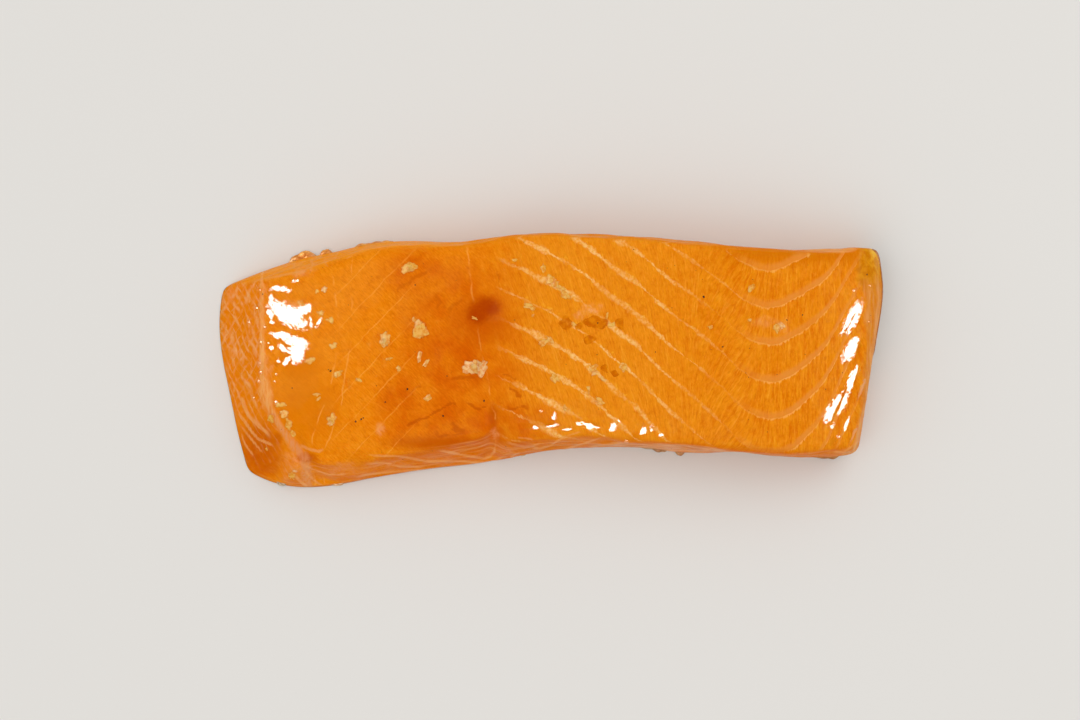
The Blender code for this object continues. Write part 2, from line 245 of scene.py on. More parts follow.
# Marks with ragged outlines, listed in the same way
RAGGED_MARKS = {
    "stain": (
        (12.3, 10.4, 3.7, 1.7), (4.6, 10.2, 2.0, 1.9), (10.8, 6.1, 1.8, 1.5), (19.2, 9.8, 1.3, 1.9),
        (8.0, 9.2, 1.2, 1.1), (14.9, -1.9, 1.3, 1.3), (17.2, -3.4, 1.1, 1.2),
    ),
    # Pinkish patches: partly pale tissue, partly painted sheen of the wet surface
    "pink_tissue_and_sheen": (
        (11.8, 14.2, 3.4, 1.5), (8.6, 12.6, 1.8, 1.5), (58.4, 10.6, 3.8, 1.6), (63.2, 9.4, 2.6, 1.8),
        (-70.0, -28.0, 4.2, 3.0), (-72.4, -31.2, 1.6, 2.2), (-46.0, -18.9, 2.0, 2.0),
        (-88.3, 18.4, 2.0, 2.6), (-14.6, -20.0, 1.3, 1.6), (-57.0, -30.5, 7.0, 2.6),
        (-44.0, -28.5, 6.0, 1.6), (-30.0, -28.0, 7.0, 1.4), (-12.0, -26.0, 7.0, 1.6),
        (-72.0, 15.2, 4.2, 1.5), (-67.5, 25.0, 3.5, 2.0), (-76.8, -1.6, 1.0, 2.6),
    ),
}
RAGGED_BY = 1.6
RAGGED_OVER = 2.4

# Heights of the flesh's fine relief
HEIGHT = SimpleNamespace(
    groove=0.06, flake_step=0.10, fibre=0.06, swell=0.30, ripple=0.07, layer=0.28, strand=0.18,
    bundle=0.22, membrane=0.22, deep=0.08,
)
FLAKE_SWELL = ((-10.0, 0.04), (70.0, 0.06), (80.0, 0.10))  # of the loin's flakes, along X
GROOVE_HALF_WIDTH = 0.75
FLESH_FOOT = 0.12  # how high the flesh's lowest points are, so that the skin lies under them
FOOT_DRAWN_IN = 0.3

# Lumps of fat on the top: (x, y, width, depth, turn in degrees, how pink from 0 to 1)
FLECKS = (
    (-38.9, 25.0, 2.4, 2.4, 0, 0.1), (-37.3, 25.8, 2.6, 2.0, 20, 0.1), (-35.3, 8.0, 3.6, 3.6, 30, 0.0),
    (-35.9, 10.0, 2.0, 2.0, 0, 0.4), (-37.0, 11.3, 1.2, 1.3, 0, 0.1), (-44.7, 6.4, 2.9, 2.8, 30, 0.2),
    (-45.2, 5.1, 1.9, 1.9, 0, 0.3), (-22.0, -2.0, 2.8, 3.4, -20, 0.7), (-20.2, -1.4, 2.6, 2.4, 40, 0.4),
    (-18.4, -1.6, 3.0, 3.6, 40, 0.9), (-35.4, 0.9, 2.8, 0.9, -42, 0.6), (-33.6, -0.5, 2.2, 0.8, -25, 0.3),
    (-41.2, -2.0, 1.5, 1.1, -20, 0.1), (-51.9, -5.2, 1.1, 1.4, -30, 0.0), (-33.1, -10.0, 1.3, 1.9, 20, 0.2),
    (-44.0, 0.6, 0.7, 1.7, 25, 0.0), (0.1, 22.2, 2.1, 2.2, 0, 0.0), (1.6, 20.9, 2.0, 1.5, -35, 0.1),
    (3.2, 19.9, 2.0, 1.4, -30, 0.1), (4.5, 17.7, 1.6, 2.6, 10, 0.1), (-1.7, 25.4, 1.1, 2.7, 15, 0.0),
    (-5.3, 14.7, 1.2, 2.8, 10, 0.1), (-4.4, 12.4, 0.6, 1.3, 15, 0.2), (-1.7, 4.9, 2.2, 2.6, 20, 0.2),
    (0.3, 5.6, 2.6, 1.1, -5, 0.3), (11.9, -2.0, 2.2, 2.2, 0, 0.1), (12.0, -3.4, 1.2, 1.3, 0, 0.5),
    (14.6, -4.9, 1.3, 1.1, 0, 0.3), (20.2, -1.7, 1.7, 2.1, -15, 0.1), (1.5, -4.4, 1.7, 2.8, -10, 0.1),
    (13.6, -10.9, 2.5, 1.6, -15, 0.1), (4.3, -12.8, 0.8, 1.9, 10, 0.1), (10.6, -7.6, 1.8, 1.0, -40, 0.1),
    (55.1, 19.9, 1.6, 2.4, -30, 0.1), (61.7, 8.7, 2.0, 1.7, 20, 0.1), (63.1, 9.6, 2.0, 1.4, 30, 0.8),
    (54.4, 11.1, 0.8, 0.8, 0, 0.2), (43.8, 9.2, 0.9, 1.0, 0, 0.1), (-61.4, 19.6, 1.8, 1.5, 0, 0.6),
    (-63.6, 19.0, 0.9, 0.8, 0, 0.0), (-67.9, 15.8, 1.3, 2.2, 5, 0.0), (-62.8, 13.1, 1.3, 1.9, 15, 0.0),
    (-59.8, 11.2, 1.6, 2.0, -15, 0.0), (-59.1, 4.2, 1.6, 2.2, 20, 0.1), (-65.3, 0.1, 1.3, 2.2, 15, 0.1),
    (-57.9, -3.8, 1.6, 2.7, 20, 0.0), (-63.9, -9.2, 0.7, 2.2, -25, 0.1), (-63.3, -10.4, 0.7, 1.6, 30, 0.1),
    (-59.4, -15.8, 2.0, 2.4, 25, 0.1), (-59.9, -16.9, 1.3, 1.3, 0, 0.6), (-76.5, -15.8, 2.0, 2.9, 5, 0.0),
    (-73.5, -11.9, 1.2, 3.0, 8, 0.0), (-72.6, -14.4, 1.6, 2.6, 10, 0.0), (-71.3, -17.3, 1.5, 3.2, 22, 0.0),
    (-70.3, -19.9, 1.5, 2.2, 10, 0.0), (-71.0, -31.6, 2.0, 3.0, -8, 0.0), (-69.9, -30.3, 1.2, 1.0, 20, 1.0),
    (-20.4, 11.6, 1.5, 0.8, -10, 0.2), (15.6, 12.3, 1.6, 0.7, -40, 0.0), (6.6, 10.0, 1.6, 1.0, 10, 0.1),
    (16.8, 9.9, 1.0, 1.8, 0, 0.1), (-9.4, 27.6, 1.2, 0.7, -30, 0.0), (-78.0, -24.4, 0.8, 0.8, 0, 0.0),
)
FLECK_SPREAD = 0.54  # half the size of a fleck before its outline grows uneven, as a share of its width
FLECK_THICKNESS = 0.12
FLECK_THICKENING = 0.03  # more for each millimetre of width
FLECK_SINK = 0.03
# Dark specks of smoke and pepper: (x, y, radius)
SPECKS = (
    (-59.8, -2.7, 0.30), (-60.4, -2.4, 0.16), (-36.6, 20.7, 0.22), (-38.8, -7.7, 0.33), (-44.8, -11.2, 0.25),
    (-29.0, -15.0, 0.26), (-17.8, -10.9, 0.26), (-52.9, -16.6, 0.30), (-51.4, -16.0, 0.28),
    (-50.8, -15.6, 0.18), (41.9, 17.4, 0.30), (13.2, 10.3, 0.22), (47.0, 3.8, 0.23), (-27.9, -4.1, 0.18),
    (-34.8, 8.9, 0.16), (-44.8, 7.0, 0.16), (28.8, 2.4, 0.16), (68.8, 12.5, 0.22), (64.5, 11.1, 0.20),
    (86.8, 23.6, 0.22), (-70.4, -7.4, 0.18), (-78.8, 18.4, 0.20),
)
FAINT_SPECKS = 46  # scattered besides those
FAINT_RADIUS = (0.08, 0.15)
FAINT_WITHIN = ((-80, 88), (-28, 34))
# Beads of oil, which catch the light: (x, y)
BEADS = (
    (-79.7, 19.5), (-80.5, 14.6), (-82.7, 10.7), (-78.0, 9.3), (-79.3, 5.1), (-77.0, 4.9), (-79.6, -0.6),
    (-79.4, -3.1), (-74.9, -3.7), (-80.0, -5.6), (-75.3, -5.6), (-63.9, 9.3), (-70.1, 22.1), (-81.5, -10.2),
    (-75.0, -11.3), (87.7, 20.6), (83.0, 19.2), (80.7, 7.9), (77.4, -17.4), (78.8, -20.7), (87.3, 10.7),
    (-2.3, -13.7), (21.0, -21.9), (27.9, -17.6),
)
BEAD_HALF_SIZES = (0.52, 0.468, 0.24)
BEAD_SCALES = (0.7, 1.0, 1.3, 0.85, 1.15)  # of the beads in turn
BEAD_TURN = 40  # degrees from one bead to the next

# Where the skin stands out from under the flesh, on each long side: (x, half width, reach, brownness)
SKIN_FLAPS = {
    "front": (
        (-74.5, 1.6, 0.7, 0.0), (-58.7, 2.0, 0.9, 0.4), (-7.3, 1.1, 0.6, 0.2), (25.7, 4.0, 0.5, 0.2),
        (31.0, 2.0, 0.9, 0.4), (36.2, 1.5, 1.2, 0.5), (58.0, 2.0, 0.4, 0.7), (69.0, 2.4, 0.4, 0.7),
        (77.0, 5.0, 0.6, 0.5),
    ),
    "back": (
        (-68.4, 3.6, 2.4, 1.0), (-62.0, 1.8, 1.3, 1.0), (-50.0, 4.6, 0.9, 0.9), (-44.2, 1.8, 0.5, 0.9),
        (78.0, 6.0, 0.0, 0.8),
    ),
}
SKIN_UNDER = 0.5  # how far the skin's edge otherwise stays inside the foot of the flesh
SKIN_TOP = 0.75  # the height of its upper face
SKIN_BROWNNESS = 0.25  # between the flaps
SKIN_STEP = 0.45  # between the points of its outline
SKIN_FOOT = 0.08  # the height at which its edge begins to rise
LOIN_SKIN_HEIGHT = 9.6  # where it turns up round the loin end
OVER_FLESH = 0.25  # how far it stands off the flesh there
LATERAL_LINE_X = 20.0
SCALE_WIDTH = 2.6
SCALE_STEP = 1.5


def interpolated(x, points):
    """The height of a line through (x, height) points, at each x of an array."""
    stations, heights = zip(*points)
    return np.interp(x, stations, heights)


def smooth_curve(x, points):
    """The same with a smooth curve through the points, as cubic pieces."""
    stations, heights = np.array(points, float).T
    slopes = np.gradient(heights, stations)
    x = np.clip(x, stations[0], stations[-1])
    i = np.clip(np.searchsorted(stations, x) - 1, 0, len(stations) - 2)
    span = stations[i + 1] - stations[i]
    t = (x - stations[i]) / span
    return (
        (1 + 2 * t) * (1 - t) ** 2 * heights[i] + t * (1 - t) ** 2 * span * slopes[i]
        + t * t * (3 - 2 * t) * heights[i + 1] + t * t * (t - 1) * span * slopes[i + 1]
    )


def eased(value, low, high):
    """0 below low and 1 above high, with a smooth rise between, for an array."""
    t = np.clip((value - low) / (high - low), 0.0, 1.0)
    return t * t * (3 - 2 * t)


def lattice_noise(points, seed):
    """Smooth noise from 0 to 1 at each row of an (n, 3) array, one bump or so for each unit."""
    cell = np.floor(points).astype(np.int64)
    part = points - cell
    part = part * part * (3 - 2 * part)
    total = np.zeros(len(points))
    for corner in np.ndindex(2, 2, 2):
        i, j, k = (cell + corner).T
        # Large primes mix the cell's three numbers and the seed into one value.
        mixed = (i * 73856093) ^ (j * 19349663) ^ (k * 83492791) ^ (seed * 50331653)
        mixed = (mixed ^ (mixed >> 13)) * 1274126177
        value = ((mixed ^ (mixed >> 16)) & 0xFFFF) / 0xFFFF
        total += value * np.prod(np.where(corner, part, 1 - part), axis=1)
    return total


def rough_noise(points, seed, octaves=3):
    """Lattice noise with finer noise added to it, centred on 0."""
    total = np.zeros(len(points))
    for octave in range(octaves):
        total += (lattice_noise(points * 2**octave, seed + octave) - 0.5) * 0.55**octave
    return total


def spots(x, y, marks):
    """1 in the middle of soft oval marks, falling to 0 a little outside their half sizes."""
    strength = np.zeros_like(x)
    for mark_x, mark_y, half_length, half_width, *turn in marks:
        angle = math.radians(turn[0]) if turn else 0.0
        along = (x - mark_x) * math.cos(angle) + (y - mark_y) * math.sin(angle)
        across = (y - mark_y) * math.cos(angle) - (x - mark_x) * math.sin(angle)
        away = np.hypot(along / half_length, across / half_width)
        strength = np.maximum(strength, 1 - eased(away, 0.25, 1.35))
    return strength


def strand_strength(x, y, strands):
    """How strongly a strand shows at each place: its strength on it, 0 away from it and at its ends."""
    strength = np.zeros_like(x)
    for half_width, full, line in strands:
        corners = np.array(line)
        lengths = np.linalg.norm(np.diff(corners, axis=0), axis=1)
        travelled = 0.0
        for (x0, y0), (x1, y1), length in zip(corners, corners[1:], lengths):
            along = ((x - x0) * (x1 - x0) + (y - y0) * (y1 - y0)) / length**2
            share = np.clip(along, 0.0, 1.0)
            away = np.hypot(x - x0 - share * (x1 - x0), y - y0 - share * (y1 - y0))
            from_middle = np.abs((travelled + share * length) / lengths.sum() - 0.5)
            tapered = full * (1 - eased(from_middle, 0.3, 0.5))
            strength = np.maximum(strength, tapered * (1 - eased(away, 0.3 * half_width, 1.4 * half_width)))
            travelled += length
    return strength


def new_object(name, mesh):
    """An object of the scene with this mesh."""
    made = bpy.data.objects.new(name, mesh)
    bpy.context.scene.collection.objects.link(made)
    return made


def object_from(name, form):
    """A smooth-shaded object from a bmesh, which is freed."""
    mesh = bpy.data.meshes.new(name)
    form.to_mesh(mesh)
    form.free()
    mesh.shade_smooth()
    return new_object(name, mesh)


def packed_form():
    """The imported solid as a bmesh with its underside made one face, and that face."""
    form = bmesh.new()
    form.from_mesh(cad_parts[NODE].data)
    bmesh.ops.remove_doubles(form, verts=form.verts, dist=TOUCHING)
    underside = [f for f in form.faces if all(v.co.z < TOUCHING for v in f.verts)]
    joined = bmesh.ops.dissolve_faces(form, faces=underside)["region"][0]
    return form, joined


def fine_form():
    """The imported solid's mesh as quads, divided to about half a millimetre."""
    form, _ = packed_form()
    bmesh.ops.join_triangles(
        form,
        faces=[f for f in form.faces if len(f.verts) == 3],
        angle_face_threshold=math.radians(60),
        angle_shape_threshold=math.radians(75),
    )
    crease = form.edges.layers.float.new("crease_edge")
    for edge in form.edges:
        if all(v.co.z < TOUCHING for v in edge.verts):
            edge[crease] = 1.0
    holder = object_from("fine_form", form)
    rounding = holder.modifiers.new("Rounding", "SUBSURF")
    rounding.levels = rounding.render_levels = 2
    graph = bpy.context.evaluated_depsgraph_get()
    mesh = bpy.data.meshes.new_from_object(holder.evaluated_get(graph))
    bpy.data.objects.remove(holder)
    return mesh


def mesh_arrays(mesh):
    """The points of a mesh in millimetres, and their outward directions."""
    places = np.empty(len(mesh.vertices) * 3, np.float32)
    mesh.vertices.foreach_get("co", places)
    normals = np.empty(len(mesh.vertices) * 3, np.float32)
    mesh.vertex_normals.foreach_get("vector", normals)
    return places.reshape(-1, 3).astype(float) / MM, normals.reshape(-1, 3).astype(float)


def flesh_fields(points, normals):
    """What the flesh's finish and relief need at every point, by name."""
    x, y, z = points.T
    up = eased(normals[:, 2], 0.30, 0.78)
    fields = {name: interpolated(x, line) for name, line in ALONG_X.items()}
    for name, line in ALONG_X_ON_TOP.items():
        fields[name] = interpolated(x, line) * up
    for name, (_, line) in SEAMS.items():
        fields[name] = x - interpolated(y, line)
    for name, marks in MARKS.items():
        fields[name] = spots(x, y, marks)
    ragged_x = x + RAGGED_BY * rough_noise(points / RAGGED_OVER, seed=71)
    ragged_y = y + RAGGED_BY * rough_noise(points / RAGGED_OVER, seed=83)
    for name, marks in RAGGED_MARKS.items():
        fields[name] = spots(ragged_x, ragged_y, marks)
    fields["stain"] *= up
    fields["strand"] = strand_strength(x, y, STRANDS)
    fields["vein"] = strand_strength(ragged_x, ragged_y, VEINS)

    below_top = np.clip(interpolated(x, TOP_HEIGHT) - z, 0.0, None)
    from_line = (smooth_curve(x, SEPTUM) - y) / fields["septa_gap"]
    fields["septa"] = from_line + SEPTUM_LEAN * below_top * (1 - up)
    belly_x, belly_y = BELLY_LINE_THROUGH
    fields["belly_lines"] = (belly_y + BELLY_LINE_SLOPE * (x - belly_x) - y) / BELLY_LINE_GAP
    membrane_y, membrane_x, membrane_half = np.array(MEMBRANE).T
    from_membrane = x - np.interp(y, membrane_y, membrane_x)
    fields["membrane"] = from_membrane / np.interp(y, membrane_y, membrane_half)
    inside_rim = smooth_curve(x, BROWN_BAND_RIM) - y
    below_reach = smooth_curve(x, BROWN_BAND_HEIGHT) - z
    fields["brown_band"] = np.minimum(inside_rim, BROWN_BAND_FADE * below_reach)
    fields["loin_edge"] = x - smooth_curve(y, LOIN_EDGE)

    fields["up"] = up
    fields["loin_side"] = eased(x, -24.0, -4.0)
    fields["belly_face"] = eased(-normals[:, 0], 0.34, 0.62) * eased(-x, 66.0, 72.0)
    loin_face = eased(normals[:, 0], 0.30, 0.75) * eased(x, 80.0, 86.0)
    fields["cut_side"] = (1 - up) * (1 - fields["belly_face"]) * (1 - loin_face)
    return fields


def flesh_relief(points, fields):
    """How far each point of the flesh stands out from the smooth form, in millimetres."""
    x, y, z = points.T
    up = fields["up"]
    loin = up * fields["loin_side"]
    counter = fields["septa"] + 0.10 * rough_noise(points / 5.0, seed=11)
    from_line = np.mod(counter + 0.5, 1.0) - 0.5
    away = np.abs(from_line) * fields["septa_gap"]
    relief = -HEIGHT.groove * fields["cream_reach"] * up * np.exp(-((away / GROOVE_HALF_WIDTH) ** 2))
    # Each flake of the loin is a low step that ends at the fringe of its band.
    step = eased(from_line, -0.16, -0.02) * (1 - eased(from_line, 0.0, 0.05))
    relief -= HEIGHT.flake_step * fields["band_reach"] * step
    relief += loin * interpolated(x, FLAKE_SWELL) * np.cos(2 * math.pi * from_line)
    # Fibres, which end at the fat lines
    share = np.mod(counter, 1.0) - 0.5
    leaning = x + fields["fibre_lean"] * share
    fibres = np.column_stack([leaning / 1.05, y / 9.0, np.floor(counter) * 3.7])
    relief += HEIGHT.fibre * loin * (lattice_noise(fibres, seed=23) - 0.5)
    # The wet surface is a little uneven all over.
    relief += HEIGHT.swell * up * rough_noise(points / 7.0, seed=31, octaves=2)
    relief += HEIGHT.ripple * rough_noise(points / 2.1, seed=37)
    # Layers that run along the cut sides
    level = z / 1.05 + 0.9 * rough_noise(points / 9.0, seed=41)
    layers = np.column_stack([x / 15.0, np.full_like(x, 5.0), level])
    relief += HEIGHT.layer * fields["cut_side"] * (lattice_noise(layers, seed=43) - 0.5)
    relief += HEIGHT.strand * fields["strand"]
    # Bundles that run down the belly face
    bundles = np.column_stack([(x + 0.8 * z) / 5.0, (y + 0.35 * z) / 1.9, z / 4.0])
    relief += HEIGHT.bundle * fields["belly_face"] * (lattice_noise(bundles, seed=47) - 0.5)
    relief += HEIGHT.membrane * np.exp(-fields["membrane"] ** 2) * up
    return relief - HEIGHT.deep * fields["deep"]


def flesh_piece():
    """The flesh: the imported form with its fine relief, and the fields its finish reads."""
    mesh = fine_form()
    points, normals = mesh_arrays(mesh)
    fields = flesh_fields(points, normals)
    clear_of_skin = eased(points[:, 2], 0.6, 2.6)
    points += normals * (flesh_relief(points, fields) * clear_of_skin)[:, None]
    # The foot of the flesh draws in a little, so that the skin's edge shows under it.
    outward = normals[:, :2] / np.maximum(np.linalg.norm(normals[:, :2], axis=1), 0.2)[:, None]
    points[:, :2] -= outward * (FOOT_DRAWN_IN * (1 - eased(points[:, 2], 0.5, 1.4)))[:, None]
    points[:, 2] = np.maximum(points[:, 2], FLESH_FOOT)
    mesh.vertices.foreach_set("co", (points * MM).astype(np.float32).ravel())
    for name, values in fields.items():
        layer = mesh.attributes.new(name, "FLOAT", "POINT")
        layer.data.foreach_set("value", values.astype(np.float32))
    mesh.shade_smooth()
    mesh.update()
    return new_object("flesh", mesh)


def surface_of(piece):
    """A search tree of a piece's surface."""
    form = bmesh.new()
    form.from_mesh(piece.data)
    tree = BVHTree.FromBMesh(form)
    form.free()
    return tree


def dropped(tree, x, y):
    """The point of the surface straight under (x, y), and its outward direction."""
    hit, normal, _, _ = tree.ray_cast(Vector((x * MM, y * MM, 0.1)), Vector((0, 0, -1)))
    return hit, normal


def add_lump(form, half_sizes, divisions, seed, roughness):
    """Adds a lump about the origin to a bmesh, uneven in its outline, and returns its points."""
    made = bmesh.ops.create_icosphere(form, subdivisions=divisions, radius=1.0)["verts"]
    places = np.array([v.co for v in made])
    swell = 1 + roughness * 2 * rough_noise(places * (1.5, 1.5, 0.2) + seed * 7.1, seed)
    for vertex, place, factor in zip(made, places, swell):
        vertex.co = Vector(place * half_sizes * (factor, factor, 1.0))
    return made


def set_down(form, lump, place, normal, turn):
    """Turns a lump and lays it on a surface."""
    lean = normal.to_track_quat("Z", "Y").to_matrix().to_4x4()
    spin = Matrix.Rotation(math.radians(turn), 4, "Z")
    bmesh.ops.transform(form, matrix=Matrix.Translation(place) @ lean @ spin, verts=lump)


def fleck_piece(tree):
    """The lumps of pale fat on the top, half sunk in it."""
    form = bmesh.new()
    pink = form.verts.layers.float.new("pink")
    thickness = form.verts.layers.float.new("thickness")
    for number, (x, y, width, depth, turn, pinkness) in enumerate(FLECKS):
        place, normal = dropped(tree, x, y)
        height = FLECK_THICKNESS + FLECK_THICKENING * min(width, depth)
        half_sizes = np.array((width * FLECK_SPREAD, depth * FLECK_SPREAD, height)) * MM
        lump = add_lump(form, half_sizes, divisions=4, seed=100 + number, roughness=0.55)
        for vertex in lump:
            vertex[pink] = pinkness
            vertex[thickness] = vertex.co.z / half_sizes[2]
        set_down(form, lump, place - normal * FLECK_SINK * MM, normal, turn)
    return object_from("fat_flecks", form)


def speck_piece(tree):
    """Dark specks on the top, the named ones and some scattered ones."""
    chance = np.random.default_rng(5)
    specks = list(SPECKS)
    while len(specks) < len(SPECKS) + FAINT_SPECKS:
        x, y = [chance.uniform(*span) for span in FAINT_WITHIN]
        if dropped(tree, x, y)[0]:
            specks.append((x, y, chance.uniform(*FAINT_RADIUS)))
    form = bmesh.new()
    for number, (x, y, radius) in enumerate(specks):
        half_sizes = np.array((radius, radius * 0.8, radius * 0.5)) * MM
        lump = add_lump(form, half_sizes, divisions=2, seed=300 + number, roughness=0.5)
        set_down(form, lump, *dropped(tree, x, y), chance.uniform(0, 180))
    return object_from("dark_specks", form)


def bead_piece(tree):
    """Low beads of oil on the flesh, of five sizes in turn."""
    form = bmesh.new()
    for number, (x, y) in enumerate(BEADS):
        half_sizes = np.array(BEAD_HALF_SIZES) * BEAD_SCALES[number % len(BEAD_SCALES)] * MM
        lump = add_lump(form, half_sizes, divisions=3, seed=500 + number, roughness=0.12)
        set_down(form, lump, *dropped(tree, x, y), number * BEAD_TURN)
    return object_from("oil_beads", form)


def foot_outline():
    """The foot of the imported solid: evenly spaced points of a closed line, and outward directions."""
    form, underside = packed_form()
    corners = np.array([loop.vert.co[:2] for loop in underside.loops]) / MM
    form.free()
    closed = np.vstack([corners, corners[:1]])
    travelled = np.concatenate([[0.0], np.cumsum(np.linalg.norm(np.diff(closed, axis=0), axis=1))])
    stations = np.linspace(0.0, travelled[-1], int(travelled[-1] / SKIN_STEP), endpoint=False)
    line = np.column_stack([np.interp(stations, travelled, closed[:, i]) for i in (0, 1)])
    area = np.sum(line[:, 0] * np.roll(line[:, 1], -1) - np.roll(line[:, 0], -1) * line[:, 1])
    if area < 0:
        line = line[::-1]
    ahead = np.roll(line, -4, axis=0) - np.roll(line, 4, axis=0)
    outward = np.column_stack([ahead[:, 1], -ahead[:, 0]])
    return line, outward / np.linalg.norm(outward, axis=1)[:, None]


def flesh_at(tree, line, outward, level):
    """Where the flesh's surface lies at a height, going inwards over each point of its foot."""
    places = []
    for place, out in zip(line, outward):
        start = Vector((*(place + out * 25.0), level)) * MM
        hit = tree.ray_cast(start, Vector((*-out, 0.0)), 0.05)[0]
        places.append(np.array(hit[:2]) / MM if hit else place)
    return np.array(places)


def skin_reach(line, outward):
    """How far the skin's edge stands out from the flesh at each point, and how brown it is there."""
    x, y = line.T
    uneven = np.column_stack([x / 1.6, y / 1.6, np.zeros_like(x)])
    reach = -SKIN_UNDER + 0.2 * rough_noise(uneven, seed=61)
    brownness = np.full_like(x, SKIN_BROWNNESS)
    for side, flaps in SKIN_FLAPS.items():
        facing = eased(outward[:, 1] * (1 if side == "back" else -1), 0.2, 0.6)
        for flap_x, half_width, length, brown in flaps:
            lobe = facing * np.exp(-(((x - flap_x) / half_width) ** 4))
            reach += lobe * (length + SKIN_UNDER) * (0.9 + 0.4 * rough_noise(uneven * 0.6, seed=63))
            brownness += lobe * (brown - SKIN_BROWNNESS)
    return reach, brownness


def skin_rim(line, outward, flap):
    """How much the skin turns up at each point of its outline, and the height of its rim."""
    x, y = line.T
    turned_up = eased(outward[:, 0], 0.45, 0.9) * eased(x, 70.0, 82.0)
    ragged = 0.8 * rough_noise(np.column_stack([x / 3.0, y / 3.0, np.ones_like(x)]), seed=67)
    rise = LOIN_SKIN_HEIGHT * (0.15 + 0.85 * eased(y, -10.0, 8.0)) + ragged - SKIN_TOP
    return turned_up, SKIN_TOP + turned_up * rise + flap * (0.35 + ragged)


def skin_rings(tree, line, outward, reach, turned_up, flap, rim):
    """The skin as rings of points: from its underside up its edge, and back in under the flesh."""
    foot = flesh_at(tree, line, outward, SKIN_TOP + 0.15)
    underside = foot + outward * (np.minimum(reach, 0.0) - 0.2)[:, None]
    rings = [np.column_stack([underside, np.zeros_like(rim)])]
    for share in np.linspace(0.0, 1.0, 11):
        rounding = 0.7 * flap * (2 * share - 1) ** 2
        level = SKIN_FOOT + share * (rim - SKIN_FOOT)
        flat = foot + outward * (reach - rounding)[:, None]
        on_flesh = flat.copy()
        for i in np.flatnonzero(turned_up > 0):
            here = slice(i, i + 1)
            on_flesh[i] = flesh_at(tree, line[here], outward[here], level[i])[0] + outward[i] * OVER_FLESH
        rings.append(np.column_stack([flat + (on_flesh - flat) * turned_up[:, None], level]))
    for inward, highest in ((0.5, np.inf), (1.5, 0.55)):
        inner = rings[-1].copy()
        inner[:, :2] -= outward * inward
        inner[:, 2] = np.minimum(inner[:, 2], highest)
        rings.append(inner)
    return rings


def skin_piece(tree):
    """The skin: a thin sheet under the flesh that turns up round the loin end."""
    line, outward = foot_outline()
    reach, brownness = skin_reach(line, outward)
    flap = eased(reach, 0.0, 1.0)
    turned_up, rim = skin_rim(line, outward, flap)
    form = bmesh.new()
    brown_layer = form.verts.layers.float.new("brownness")
    rim_layer = form.verts.layers.float.new("below_rim")
    rings = []
    for points in skin_rings(tree, line, outward, reach, turned_up, flap, rim):
        rings.append([form.verts.new(Vector(point) * MM) for point in points])
        for vertex, brown, below_rim in zip(rings[-1], brownness, rim - points[:, 2]):
            vertex[brown_layer] = brown
            vertex[rim_layer] = below_rim
    for lower, upper in zip(rings, rings[1:]):
        for corners in zip(lower, lower[1:] + lower[:1], upper[1:] + upper[:1], upper):
            form.faces.new(corners)
    form.faces.new(rings[0][::-1])
    form.faces.new(rings[-1])
    skin = object_from("skin", form)
    skin.data.set_sharp_from_angle(angle=math.radians(75))
    return skin


def srgb(red, green, blue):
    """A colour given by its 0 to 255 screen values, as linear values."""
    def linear(value):
        share = value / 255
        return share / 12.92 if share <= 0.04045 else ((share + 0.055) / 1.055) ** 2.4
    return (linear(red), linear(green), linear(blue), 1.0)


class Value:
    """An output of a node. Arithmetic with it adds math nodes to its tree."""

    def __init__(self, nodes, socket):
        self.nodes = nodes
        self.socket = socket

    def __add__(self, other):
        return self.nodes.math("ADD", self, other)

    def __mul__(self, other):
        return self.nodes.math("MULTIPLY", self, other)

    def __sub__(self, other):
        return self.nodes.math("SUBTRACT", self, other)

    def __rsub__(self, other):
        return self.nodes.math("SUBTRACT", other, self)

    def __truediv__(self, other):
        return self.nodes.math("DIVIDE", self, other)

    def __rtruediv__(self, other):
        return self.nodes.math("DIVIDE", other, self)

    def __abs__(self):
        return self.nodes.math("ABSOLUTE", self)

    __radd__ = __add__
    __rmul__ = __mul__


